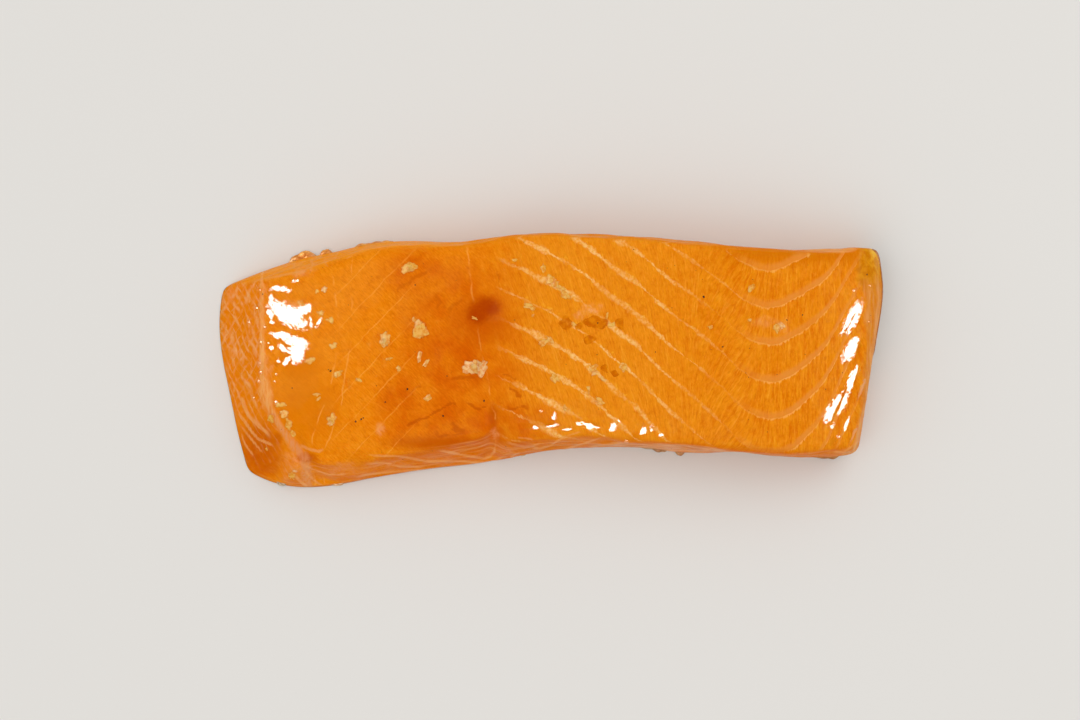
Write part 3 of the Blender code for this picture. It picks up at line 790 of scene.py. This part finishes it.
class Nodes:
    """Adds nodes to a node tree. An input is given as a number, a Value or a colour of screen values.

    Noises and node groups are laid out over here, which is the place on the object in millimetres,
    or the place that a group is given.
    """

    def __init__(self, tree, place=None):
        self.tree = tree
        self.count = 0
        self.here = self.object_place() if place is None else Value(self, place)

    def add(self, kind, inputs=None, **settings):
        """A new node with these settings and inputs."""
        node = self.tree.nodes.new(kind)
        node.location = (220 * (self.count % 14), -260 * (self.count // 14))
        self.count += 1
        for name, value in settings.items():
            setattr(node, name, value)
        for key, value in (inputs or {}).items():
            self.feed(node.inputs[key], value)
        return node

    def feed(self, socket, value):
        """Links a Value, or sets a constant, to an input."""
        if isinstance(value, Value):
            self.tree.links.new(value.socket, socket)
        elif socket.type == "RGBA":
            socket.default_value = srgb(*value)
        else:
            socket.default_value = value

    def value(self, kind, inputs=None, output=0, **settings):
        """One output of a new node."""
        return Value(self, self.add(kind, inputs, **settings).outputs[output])

    def math(self, operation, *values):
        """The result of a math node."""
        return self.value("ShaderNodeMath", dict(enumerate(values)), operation=operation)

    def fraction(self, value):
        """What a value has past its last whole number."""
        return self.math("FRACT", value)

    def rise(self, value, low, high, to_low=0.0, to_high=1.0):
        """A smooth rise from to_low at low to to_high at high."""
        inputs = {"Value": value, "From Min": low, "From Max": high, "To Min": to_low, "To Max": to_high}
        return self.value("ShaderNodeMapRange", inputs, interpolation_type="SMOOTHSTEP")

    def fall(self, value, low, high):
        """A smooth fall from 1 at low to 0 at high."""
        return self.rise(value, low, high, 1.0, 0.0)

    def mix(self, share, first, second):
        """A colour between two colours."""
        return self.value("ShaderNodeMix", {0: share, 6: first, 7: second}, output=2, data_type="RGBA")

    def field(self, name):
        """The value a mesh carries under this name."""
        return self.value(
            "ShaderNodeAttribute", output="Fac", attribute_name=name, attribute_type="GEOMETRY"
        )

    def object_place(self):
        """The place on the object in millimetres."""
        place = self.value("ShaderNodeTexCoord", output="Object")
        return self.value("ShaderNodeVectorMath", {0: place, "Scale": 1 / MM}, operation="SCALE")

    def outputs(self, node):
        """The outputs of a node by name."""
        return {socket.name: Value(self, socket) for socket in node.outputs}

    def parts(self, vector):
        """The three values of a vector."""
        return self.outputs(self.add("ShaderNodeSeparateXYZ", {0: vector})).values()

    def noise(self, scale, detail=2.0, roughness=0.5, distortion=0.0, over=None):
        """The value of a noise texture."""
        inputs = {"Scale": scale, "Detail": detail, "Roughness": roughness, "Distortion": distortion}
        inputs["Vector"] = over or self.here
        return self.value("ShaderNodeTexNoise", inputs, output="Fac")

    def swing(self, scale, height=1.0, **finer):
        """Noise of this height that swings about zero."""
        return (self.noise(scale, **finer) - 0.5) * height

    def patches(self, scale, low, high, to_low=0.0, to_high=1.0, **finer):
        """Noise made into soft patches, from to_low outside them to to_high in them."""
        return self.rise(self.noise(scale, **finer), low, high, to_low, to_high)

    def streaks(self, x, y, z, scale=1.0, **finer):
        """Noise over a place whose three values are stretched or lean."""
        return self.noise(scale, over=self.value("ShaderNodeCombineXYZ", {0: x, 1: y, 2: z}), **finer)

    def group(self, tree, inputs):
        """Places a node group and returns its outputs by name."""
        return self.outputs(self.add("ShaderNodeGroup", {"Place": self.here, **inputs}, node_tree=tree))


class Paint:
    """A colour that is painted over in turn, each time as strongly as a mask says."""

    def __init__(self, n, colour):
        self.n = n
        self.colour = colour

    def over(self, colour, share):
        self.colour = self.n.mix(share, self.colour, colour)


def new_group(name, inputs, outputs):
    """A node group over a place: its tree, the builder of its nodes, and its inputs and outputs by name."""
    tree = bpy.data.node_groups.new(name, "ShaderNodeTree")
    tree.interface.new_socket("Place", in_out="INPUT", socket_type="NodeSocketVector")
    for label, value in inputs.items():
        socket = tree.interface.new_socket(label, in_out="INPUT", socket_type="NodeSocketFloat")
        socket.default_value = value
    for label in outputs:
        tree.interface.new_socket(label, in_out="OUTPUT", socket_type="NodeSocketFloat")
    entry = tree.nodes.new("NodeGroupInput")
    given = {socket.name: socket for socket in entry.outputs}
    n = Nodes(tree, given["Place"])
    return tree, n, n.outputs(entry), n.add("NodeGroupOutput").inputs


def wet_surface_group():
    """The height in millimetres of a wet surface that lies in small sharp ripples."""
    inputs = {"Ripple size": 4.0, "Ripple height": 0.1, "Grain height": 0.01}
    tree, n, given, result = new_group("Wet surface", inputs, ("Height",))
    broad = n.noise(1.0 / given["Ripple size"], distortion=0.8)
    ripple = abs(broad - 0.5) * -1.2 + broad * 0.8
    grain = n.noise(2.4)
    n.feed(result["Height"], ripple * given["Ripple height"] + grain * given["Grain height"])
    return tree


def flakes_group():
    """Where in its flake a place lies, from a counter that grows by one from each fat line to the next."""
    inputs = {"Counter": 0.0, "Wander": 0.05}
    tree, n, given, result = new_group("Flakes", inputs, ("Side of line", "Flake", "Share of flake"))
    counter = given["Counter"] + n.swing(0.28, 2.0, detail=3.0, roughness=0.6) * given["Wander"]
    n.feed(result["Side of line"], n.fraction(counter + 0.5) - 0.5)
    n.feed(result["Flake"], n.math("FLOOR", counter))
    n.feed(result["Share of flake"], n.fraction(counter) - 0.5)
    return tree


def fat_line_group():
    """A mask of an irregular line, frayed along the fibres, where the side of the line is zero."""
    inputs = {"Side of line": 0.0, "Gap": 8.0, "Half width": 0.5, "Unevenness": 0.5, "Fray": 0.0}
    tree, n, given, result = new_group("Fat line", inputs, ("Mask",))
    away = abs(given["Side of line"] + given["Fray"]) * given["Gap"]
    uneven = n.patches(0.2, 0.3, 0.72, -1.0, 1.0, detail=3.5)
    width = given["Half width"] * (1.0 + uneven * given["Unevenness"])
    n.feed(result["Mask"], n.fall(away / width, 0.35, 1.2))
    return tree


def new_material(name, finish):
    """A material with this finish all over, and its Principled shader."""
    material = bpy.data.materials.new(name)
    material.use_nodes = True
    shader = material.node_tree.nodes["Principled BSDF"]
    for label, value in finish.items():
        shader.inputs[label].default_value = value
    return material, shader


def bump(n, shader, height):
    """Feeds a height in millimetres to the shader's normal."""
    inputs = {"Height": height, "Strength": 1.0, "Distance": MM}
    n.feed(shader.inputs["Normal"], n.value("ShaderNodeBump", inputs))


def fibre_values(n, s, groups):
    """Fibres of the loin, which lean and start anew in each flake, and the belly's finer ones."""
    flakes = n.group(groups.flakes, {"Counter": n.field("septa"), "Wander": 0.06})
    s.side = flakes["Side of line"]
    flake = flakes["Flake"]
    lean = s.x + n.field("fibre_lean") * flakes["Share of flake"] + s.wobble * 0.45
    s.fibres = n.streaks(lean * 1.35, s.y * 0.15, flake * 3.7, detail=3.0, roughness=0.55)
    strokes = n.streaks(lean * 1.9, s.y * 0.17, flake * 5.1, roughness=0.6)
    s.strokes = n.rise(strokes, 0.56, 0.70) * s.loin * s.up
    s.dark_strokes = n.rise(strokes, 0.40, 0.28) * s.loin * s.up
    across = (s.x + s.y) * 0.7071
    along = (s.x - s.y) * 0.7071
    s.belly_fibres = n.streaks(across * 2.3, along * 0.16, s.z)
    loin_grain = n.streaks(lean * 2.6, s.y * 0.7, flake, roughness=0.6)
    belly_grain = n.streaks(across * 3.0, along * 0.7, s.z, roughness=0.6)
    s.grain = loin_grain * s.loin + belly_grain * (1.0 - s.loin) - 0.5
    s.layers = n.streaks(s.x * 0.06, s.y * 0.06, s.z * 0.9, detail=4.0, roughness=0.62, distortion=0.4)


def line_values(n, s, groups):
    """Masks of the loin's cream lines, the belly's thin lines and the belly face's net."""
    s.gap = n.field("septa_gap")
    s.cream_reach = n.field("cream_reach") * n.rise(s.up, 0.1, 0.9, 0.3, 1.0)
    s.cream = s.cream_reach * n.group(groups.fat_line, {
        "Side of line": s.side, "Gap": s.gap, "Half width": n.field("cream_width"),
        "Unevenness": 0.75, "Fray": (s.fibres - 0.5) * 0.16,
    })["Mask"]
    counter = n.field("belly_lines")
    flakes = n.group(groups.flakes, {"Counter": counter, "Wander": 0.09})
    worn = n.patches(0.17, 0.36, 0.58, 0.3, 1.0, detail=4.0, roughness=0.6)
    s.belly_lines = n.field("belly_reach") * worn * n.group(groups.fat_line, {
        "Side of line": flakes["Side of line"], "Gap": BELLY_LINE_GAP,
        "Half width": 0.3, "Unevenness": 0.5,
    })["Mask"]
    broken = n.patches(0.32, 0.40, 0.60, 0.25, 1.0, detail=3.0)
    s.net = belly_net(n, s) * s.belly_face * broken


def belly_net(n, s):
    """Two families of strands that cross at a steep angle and leave small lozenges between them."""
    bend = s.wobble * 0.35 + n.swing(0.11, 4.0)
    fading = n.rise(s.y, -20.0, -2.0, 0.15, 0.8)
    net = 0.0
    for lean, pitch, seed, share in ((0.55, 2.0, 0.0, 1.0), (-0.60, 2.3, 40.0, fading)):
        strand = (s.x + s.y * lean + bend + seed) / pitch
        away = abs(n.fraction(strand) - 0.5) * pitch
        thick = n.streaks(s.x, s.y, s.z + seed, scale=0.25, detail=3.0)
        width = n.rise(thick, 0.36, 0.66, 0.08, 0.7)
        net = n.math("MAXIMUM", net, n.fall(away / width, 0.0, 1.2) * share)
    return net


def wet_value(n, s):
    """A mask of the wettest patches, which are torn at their edges."""
    wet = n.field("wet")
    slant = s.y * n.rise(s.x, -5.0, 5.0, 1.0, -1.0)
    torn = n.streaks((s.x + slant) * 1.5, (s.x - slant) * 0.5, 0.0, detail=3.0, roughness=0.65)
    ragged = n.swing(0.75, 1.6, detail=4.0, roughness=0.7) + (torn - 0.5) * 3.2
    return n.rise(wet + ragged * n.rise(wet, 0.0, 0.25, 0.2, 1.0), 0.36, 0.43)


def flesh_values(n, groups):
    """The values that the parts of the flesh's finish share."""
    s = SimpleNamespace()
    s.x, s.y, s.z = n.parts(n.here)
    s.up = n.field("up")
    s.loin = n.field("loin_side")
    s.cut_side = n.field("cut_side")
    s.belly_face = n.field("belly_face")
    s.wobble = n.swing(0.35, 1.6, detail=4.0)
    s.shiver = n.swing(1.2, 1.6, detail=3.0)
    s.mottle = n.swing(0.45, detail=5.0, roughness=0.7)
    fibre_values(n, s, groups)
    line_values(n, s, groups)
    return s


def flesh_ground(n, s):
    """The flesh's own colour, from the redder belly to the amber loin, with its fibres."""
    loin_tone = 0.5 + (s.fibres - 0.5) * n.rise(s.x, 36.0, 60.0, 1.0, 1.4) * 2.0
    loin = n.mix(loin_tone, (223, 115, 0), (238, 147, 16))
    belly = n.mix(n.rise(s.belly_fibres, 0.25, 0.75, 0.3, 0.7), (228, 119, 0), (246, 147, 12))
    paint = Paint(n, n.mix(s.loin, belly, loin))
    cloud = n.patches(0.085, 0.35, 0.65, detail=4.0, roughness=0.55)
    middle = n.rise(s.x, -14.0, 4.0) * n.fall(s.x, 24.0, 44.0)
    paint.over((242, 154, 30), cloud * 0.2 + middle * 0.3)
    paint.over((248, 158, 36), n.rise(s.mottle, 0.02, 0.16, 0.0, 0.35))
    paint.over((216, 106, 0), n.rise(s.mottle, -0.02, -0.16, 0.0, 0.4))
    paint.over((250, 162, 50), n.rise(s.grain, 0.0, 0.2, 0.0, 0.3))
    paint.over((204, 92, 0), n.rise(s.grain, 0.0, -0.2, 0.0, 0.3))
    paint.over((206, 98, 0), s.dark_strokes * 0.4)
    hatch = n.rise(s.belly_fibres, 0.55, 0.7) * (1.0 - s.loin) * n.rise(s.mottle, -0.1, 0.12)
    paint.over((250, 160, 44), hatch * 0.16)
    paint.over((250, 170, 50), s.strokes * 0.42)
    return paint


def flesh_tones(n, s, paint):
    """Redder and yellower regions, painted shade in shallow dents and folds, the fine veins of the red one,
    and painted shade just inside the loin's back rim.
    """
    patchy = n.patches(0.16, 0.25, 0.7, 0.3, 1.0, detail=4.0, roughness=0.6)
    red = n.mix(n.rise(s.grain, -0.2, 0.2), (208, 88, 0), (220, 100, 0))
    paint.over(red, n.field("red") * patchy * 0.95)
    vein = n.rise(n.field("vein") + s.shiver * 0.25, 0.1, 0.8)
    paint.over((192, 78, 0), vein * s.up * 0.65)
    # Painted shade in the shallow dents of the folds and under the membrane
    paint.over((196, 84, 0), n.field("deep") * 0.75)
    paint.over((224, 122, 0), n.field("yellow") * 0.75)
    # Painted shade just inside the loin's back rim
    back_rim_shade = n.rise(s.x, 40.0, 56.0) * n.rise(s.y, 24.0, 29.0)
    paint.over((212, 112, 0), back_rim_shade * 0.7)


def fat_bands(n, s, paint):
    """Broad pale bands of the loin, each with a bright fringe that the fibres fray."""
    cloudy = n.patches(0.14, 0.35, 0.65, 0.6, 0.95, detail=3.0)
    reach = n.field("band_reach") * cloudy
    paint.over((231, 143, 54), n.rise(s.side, -0.25, -0.10) * n.fall(s.side, 0.0, 0.02) * reach)
    fringe_end = n.rise(s.fibres, 0.35, 0.7, 0.012, 0.095)
    fringe = n.rise(s.side, -0.012, 0.0) * n.fall(s.side / fringe_end, 0.4, 1.0)
    paint.over((248, 176, 86), fringe * reach * n.rise(s.fibres, 0.4, 0.6, 0.3, 0.9))


def fat_lines(n, s, paint):
    """Cream lines of the loin with yellow crumbs beside them, belly lines and thin seams."""
    behind = n.fall(abs(s.side * s.gap + 1.0 + s.wobble), 0.2, 1.0)
    crumbs = n.patches(0.8, 0.58, 0.68, detail=3.0, roughness=0.6)
    paint.over((244, 174, 40), behind * crumbs * s.cream_reach * 0.7)
    curds = n.patches(1.2, 0.36, 0.64, detail=3.0, roughness=0.6)
    strength = n.patches(0.11, 0.34, 0.6, 0.3, 0.95, detail=3.0)
    paint.over(n.mix(curds, (240, 160, 60), (252, 200, 122)), s.cream * strength)
    paint.over((250, 168, 62), s.belly_lines * 0.5)
    broken = n.patches(0.22, 0.42, 0.62, detail=3.0) * s.up
    for name, (strength, _) in SEAMS.items():
        away = abs(n.field(name) + s.wobble)
        seam = n.fall(away, 0.3 * SEAM_HALF_WIDTH, SEAM_HALF_WIDTH)
        paint.over((248, 166, 70), seam * strength * broken)


def marks(n, s, paint):
    """The dark bruise with its soft halo, stains with a darker outline, and pinkish patches that are partly
    pale tissue and partly painted sheen.
    """
    bruise = n.field("bruise")
    feather = n.rise(bruise, 0.0, 0.3)
    bruise = bruise + s.wobble * feather * 0.3 + s.shiver * feather * 0.35
    paint.over((200, 88, 0), n.field("bruise_shade") * 0.5)
    paint.over((202, 88, 0), n.rise(bruise, -0.05, 0.8, 0.0, 0.75))
    paint.over((180, 64, 0), n.rise(bruise, 0.2, 1.15, 0.0, 0.95))
    stain = n.field("stain") + s.wobble * 0.25 + s.shiver * 0.22
    amber = n.mix(n.patches(0.6, 0.35, 0.7, detail=3.0), (202, 98, 0), (228, 134, 8))
    paint.over(amber, n.rise(stain, 0.30, 0.5, 0.0, 0.92))
    outline = n.rise(stain, 0.30, 0.42) * n.fall(stain, 0.44, 0.66)
    paint.over((192, 86, 0), outline * n.rise(s.mottle, -0.08, 0.12, 0.0, 0.6))
    # Pinkish patches, partly pale tissue and partly painted sheen
    uneven = n.patches(0.6, 0.38, 0.62, 0.2, 1.0, detail=4.0, roughness=0.6)
    share = n.rise(s.x, 30.0, 50.0, 0.6, 0.3) * n.rise(s.fibres, 0.35, 0.65, 0.7, 1.2)
    paint.over((242, 164, 104), n.field("pink_tissue_and_sheen") * uneven * share)


def cut_sides(n, s, paint):
    """The front and back cuts: redder and darker in front, partly as painted shade, with pale and dark
    layers along them.
    """
    back_colour = n.mix(n.rise(s.x, -40.0, 0.0), (246, 150, 24), (222, 122, 0))
    # The front cut is painted darker than the back: partly its redder tone and partly painted shade. Its
    # dark layers are stronger there too
    from_front = n.rise(s.y, -10.0, 10.0)
    paint.over(n.mix(from_front, (210, 98, 0), back_colour), s.cut_side * 0.65)
    paint.over((246, 170, 92), s.cut_side * n.rise(s.layers, 0.48, 0.68) * 0.4)
    dark_share = n.rise(s.y, -10.0, 10.0, 0.28, 0.12)
    paint.over((208, 92, 0), s.cut_side * n.rise(s.layers, 0.44, 0.3) * dark_share)


def belly_end(n, s, paint):
    """The belly face with its pale net and patches, and the membrane along its rim."""
    paint.over((234, 122, 2), s.belly_face * 0.5)
    pale = n.mix(n.noise(0.5, detail=3.0), (240, 160, 92), (250, 190, 132))
    paint.over(pale, s.net * n.rise(s.y, -26.0, -8.0, 0.25, 0.6))
    patchy = n.streaks(s.x * 0.6, s.y * 0.22, s.z * 0.22, detail=4.0, roughness=0.6)
    paint.over(pale, n.rise(patchy, 0.50, 0.68) * n.rise(s.y, -10.0, 4.0) * s.belly_face * 0.5)
    membrane = n.fall(abs(n.field("membrane") + s.wobble * 0.6), 0.3, 1.4)
    streaked = n.streaks(s.x * 1.7, s.y * 0.25, s.z, detail=3.0)
    share = n.rise(streaked, 0.3, 0.6, 0.35, 1.0) * n.rise(s.y, 4.0, 14.0, 0.95, 0.6)
    colour = n.mix(n.rise(s.y, -22.0, -8.0), (226, 148, 88), (246, 172, 96))
    paint.over(colour, membrane * share)


def strands(n, s, paint):
    """Pale strands on the cut faces, over painted shade at the belly's front corner."""
    # Painted shade under the membrane and between the strands at the belly's front corner
    deep = n.rise(n.field("deep") + s.wobble * 0.7, 0.1, 1.1) * n.fall(s.x, -60.0, -50.0)
    paint.over((190, 80, 0), deep * n.rise(s.mottle, -0.15, 0.15, 0.2, 0.5))
    strand = n.rise(n.field("strand") + s.shiver * 0.2 + s.wobble * 0.15, 0.15, 0.75)
    share = n.rise(s.x, -66.0, -56.0, 0.6, 0.5) * n.rise(s.layers, 0.3, 0.6, 0.6, 1.1)
    paint.over((240, 168, 100), strand * share)


def loin_end(n, s, paint):
    """The loin end: milky tan streaks, with a clear amber corner at the back."""
    edge = n.field("loin_edge") + s.wobble * 0.5
    streaks = n.streaks(s.x * 0.9, s.y * 0.12, s.z * 0.3, detail=4.0)
    tan = n.mix(n.rise(streaks, 0.35, 0.65), (204, 120, 30), (228, 154, 82))
    paint.over(tan, n.rise(edge, -0.6, 0.8) * n.rise(streaks, 0.34, 0.6, 0.5, 1.0) * 0.85)
    drift = n.swing(0.22, 9.0, detail=4.0, roughness=0.6)
    clear = n.rise(s.y + drift, AMBER_FROM_Y - 2.5, AMBER_FROM_Y + 3.5)
    amber = n.mix(n.rise(s.mottle, -0.12, 0.12), (204, 118, 0), (222, 146, 16))
    paint.over(amber, n.rise(edge + drift * 0.35, -1.6, 1.2) * clear * 0.92)
    golden = n.rise(s.x, 87.4, 89.0) * n.rise(s.y, 25.0, 29.0)
    paint.over((248, 190, 60), golden * n.rise(s.mottle, -0.1, 0.1, 0.3, 1.0) * 0.8)


def near_skin(n, s, paint):
    """Bare brown muscle on the front cut, and a browner line with fat just above the skin."""
    steep = 1.0 - s.up
    band = n.rise(n.field("brown_band") + s.wobble * 0.35, -0.1, 0.4)
    grain = n.streaks(s.x * 0.14, s.y * 1.2, s.z * 1.2, detail=4.0)
    muscle = n.mix(n.rise(grain, 0.35, 0.65), (204, 122, 66), (230, 162, 110))
    paint.over(muscle, band * n.rise(s.z, 1.0, 9.0, 0.6, 0.85))
    lift = s.z + s.wobble * 0.5
    brown = n.fall(lift / n.rise(s.x, -30.0, 20.0, 1.4, 3.4), 0.5, 1.1)
    paint.over((196, 122, 66), brown * steep * n.rise(s.x, -82.0, -60.0) * 0.5)
    fat_edge = n.rise(lift, 0.7, 1.1) * n.fall(lift, 1.2, 1.8)
    paint.over((236, 178, 120), fat_edge * steep * 0.4)


def wet_height(n, groups, size, height, grain):
    """The height of the wet surface, from its group."""
    inputs = {"Ripple size": size, "Ripple height": height, "Grain height": grain}
    return n.group(groups.wet, inputs)["Height"]


def flesh_material(groups):
    """Orange flesh, wet all over, with a few patches that gleam."""
    material, shader = new_material("smoked flesh", {
        "Roughness": 0.30, "IOR": 1.42, "Specular IOR Level": 0.005,
        "Subsurface Weight": 0.3, "Subsurface Radius": (1.0, 0.35, 0.08), "Subsurface Scale": 1.2 * MM,
        "Coat Roughness": 0.03, "Coat IOR": 1.9,
    })
    n = Nodes(material.node_tree)
    s = flesh_values(n, groups)
    paint = flesh_ground(n, s)
    finishes = (
        flesh_tones, fat_bands, fat_lines, marks, cut_sides, belly_end, strands, loin_end, near_skin,
    )
    for finish in finishes:
        finish(n, s, paint)
    n.feed(shader.inputs["Base Color"], paint.colour)
    relief = wet_height(n, groups, 3.2, 0.07, 0.005) + s.fibres * s.loin * s.up * 0.05
    lines = s.cream * -0.03 + s.belly_lines * -0.015 + s.net * 0.08
    bump(n, shader, relief + s.belly_fibres * 0.012 + lines + s.layers * s.cut_side * 0.20)
    patches = n.patches(0.22, 0.4, 0.6, 0.03, 0.24, detail=4.0, roughness=0.6)
    steep_gloss = patches * n.fall(s.up, 0.0, 0.6) + 0.002
    n.feed(shader.inputs["Coat Weight"], wet_value(n, s) * 0.98 + steep_gloss)
    return material


def fat_material(groups):
    """Creamy fat, pinkish where a fleck says so, and the flesh's colour where it is thin."""
    material, shader = new_material("pale fat", {
        "Roughness": 0.4, "Specular IOR Level": 0.1,
        "Subsurface Weight": 0.3, "Subsurface Radius": (1.0, 0.5, 0.2), "Subsurface Scale": 1.0 * MM,
        "Coat Weight": 0.04, "Coat Roughness": 0.05,
    })
    n = Nodes(material.node_tree)
    curds = n.patches(1.1, 0.36, 0.62, detail=4.0, roughness=0.6)
    cream = n.mix(curds, (230, 142, 20), (240, 178, 76))
    pink = n.mix(curds, (232, 138, 62), (243, 188, 128))
    thin = n.rise(n.field("thickness") + curds * 0.2, 0.15, 0.75, 0.85, 0.0)
    n.feed(shader.inputs["Base Color"], n.mix(thin, n.mix(n.field("pink"), cream, pink), (238, 140, 52)))
    bump(n, shader, wet_height(n, groups, 2.0, 0.04, 0.02))
    return material


def speck_material():
    """Almost black, with a brown edge to some specks."""
    material, shader = new_material("dark specks", {"Roughness": 0.4, "Specular IOR Level": 0.1})
    n = Nodes(material.node_tree)
    shade = n.patches(0.9, 0.35, 0.65)
    n.feed(shader.inputs["Base Color"], n.mix(shade, (50, 18, 2), (120, 48, 2)))
    return material


def bead_material():
    """Clear oil that shows the flesh's colour."""
    material, shader = new_material("oil", {
        "Roughness": 0.2, "Specular IOR Level": 0.2,
        "Coat IOR": 1.9, "Coat Weight": 1.0, "Coat Roughness": 0.02,
    })
    n = Nodes(material.node_tree)
    tone = n.noise(0.1)
    n.feed(shader.inputs["Base Color"], n.mix(tone, (232, 124, 2), (246, 150, 20)))
    return material


def fish_scales(n, across, along):
    """Overlapping scales in offset rows: a mask of their edges, and how far down its scale a place is."""
    rows = along / SCALE_STEP
    shift = n.math("MODULO", abs(n.math("FLOOR", rows)), 2.0) * 0.5
    side = n.fraction(across / SCALE_WIDTH + shift) - 0.5
    below_edge = n.fraction(rows) - side * side * 2.4
    return n.fall(abs(below_edge), 0.04, 0.22), n.fraction(below_edge)


def skin_material(groups):
    """Scaly skin: dark on the back of the fish, silver on its belly, browned by smoke."""
    material, shader = new_material("fish skin", {
        "Roughness": 0.34, "Metallic": 0.05, "Specular IOR Level": 0.12, "Coat Roughness": 0.08,
    })
    n = Nodes(material.node_tree)
    x, y, z = n.parts(n.here)
    offset = n.swing(0.5, 0.5)
    scale_edge, scale_share = fish_scales(n, x + z + offset * 1.4, y + offset)
    dorsal = n.rise(x + offset * 20.0, -10.0, 62.0)
    silver = n.mix(n.noise(0.12, detail=3.0), (176, 152, 118), (214, 198, 170))
    dark = n.mix(n.noise(0.2, detail=4.0), (58, 44, 32), (100, 84, 66))
    paint = Paint(n, n.mix(dorsal, silver, dark))
    low_end = n.mix(dorsal, (232, 218, 190), (122, 104, 80))
    paint.over(low_end, n.rise(scale_share, 0.1, 0.9, 0.0, 0.35))
    paint.over(n.mix(dorsal, (132, 104, 70), (30, 22, 16)), scale_edge * 0.5)
    paint.over((150, 96, 40), n.patches(0.06, 0.35, 0.7, detail=4.0) * 0.4)
    from_lateral = abs(x - LATERAL_LINE_X + offset * 3.0)
    paint.over((70, 54, 40), n.rise(from_lateral, 0.2, 1.0, 0.4, 0.0))
    # Its cut edge and loose flaps are amber, and the rim that turns up is a darker brown.
    brownness = n.field("brownness")
    edge = n.mix(n.patches(0.7, 0.35, 0.65, detail=3.0), (214, 130, 46), (240, 170, 82))
    paint.over(edge, brownness * n.rise(z, 0.02, 0.15))
    paint.over((180, 110, 46), n.rise(z, 0.9, 2.0) * n.rise(n.field("below_rim"), 0.4, 1.6, 0.9, 0.0))
    n.feed(shader.inputs["Base Color"], paint.colour)
    bump(n, shader, wet_height(n, groups, 5.0, 0.12, 0.01) + scale_edge * -0.12)
    n.feed(shader.inputs["Coat Weight"], n.rise(brownness, 0.3, 0.8, 0.25, 0.0))
    return material


def floor_piece():
    """A wide, plain, pale and matt floor just under the fish."""
    form = bmesh.new()
    bmesh.ops.create_grid(form, x_segments=1, y_segments=1, size=FLOOR_SIZE)
    floor = object_from("floor", form)
    floor.location.z = FLOOR_HEIGHT * MM
    material, _ = new_material("floor", {
        "Base Color": FLOOR_COLOUR, "Roughness": 0.9, "Specular IOR Level": 0.0,
    })
    floor.data.materials.append(material)
    return floor


def area_light(name, place, target, size, power):
    """A soft box at place, facing target."""
    light = bpy.data.lights.new(name, "AREA")
    light.shape = "RECTANGLE"
    light.size, light.size_y = size
    light.energy = power
    lamp = new_object(name, light)
    lamp.location = place
    lamp.rotation_mode = "QUATERNION"
    lamp.rotation_quaternion = (Vector(target) - Vector(place)).to_track_quat("-Z", "Y")
    return lamp


def reflected_light(name, place, target, size, radiance):
    """A light of an even radiance that only reflections show."""
    lamp = area_light(name, place, target, size, 4 * size[0] * size[1] * radiance)
    lamp.visible_diffuse = False


def soft_box(name, over, tilts, height, half_angles):
    """A light for the wet top, tilted from straight above a place."""
    away = Vector([math.tan(math.radians(tilt)) for tilt in tilts] + [1.0]) * height
    sides = [2 * away.length * math.tan(math.radians(half)) for half in half_angles]
    if abs(tilts[0]) > abs(tilts[1]):
        sides.reverse()  # the lamp's second side is the one that leans
    target = Vector(over) * MM
    reflected_light(name, target + away, target, sides, BOX_RADIANCE)


def studio():
    """Soft light from all round, and the lights that the wet surface reflects."""
    world = bpy.data.worlds.new("studio")
    world.use_nodes = True
    sky = world.node_tree.nodes["Background"].inputs
    sky["Color"].default_value = SKY_COLOUR
    sky["Strength"].default_value = SKY_STRENGTH
    world.cycles_visibility.glossy = False
    bpy.context.scene.world = world
    for name, (place, power) in FILLS.items():
        area_light(name, place, (0, 0, 0), FILL_SIZE, power).visible_glossy = False
    for name, values in SOFT_BOXES.items():
        soft_box(name, *values)
    for name, place in PANELS.items():
        reflected_light(name, place, PANEL_TARGET, PANEL_SIZE, PANEL_RADIANCE)


def view_from_above():
    """The camera, and plain colours in its pictures."""
    lens = bpy.data.cameras.new("camera")
    lens.sensor_fit = "HORIZONTAL"
    lens.sensor_width = SENSOR_WIDTH
    lens.lens = LENS
    lens.clip_start, lens.clip_end = CLIP
    camera = new_object("camera", lens)
    camera.location = Vector(CAMERA_PLACE) * MM
    bpy.context.scene.camera = camera
    bpy.context.scene.view_settings.view_transform = "Standard"


def finish_piece(piece, material):
    """Gives a piece its material and lets it ride on the part."""
    piece.data.materials.clear()
    piece.data.materials.append(material)
    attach(piece, BODY)


def main():
    groups = SimpleNamespace(wet=wet_surface_group(), flakes=flakes_group(), fat_line=fat_line_group())
    flesh = flesh_piece()
    tree = surface_of(flesh)
    finish_piece(flesh, flesh_material(groups))
    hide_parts(NODE)
    finish_piece(fleck_piece(tree), fat_material(groups))
    finish_piece(speck_piece(tree), speck_material())
    finish_piece(bead_piece(tree), bead_material())
    finish_piece(skin_piece(tree), skin_material(groups))
    floor_piece()
    studio()
    view_from_above()


main()
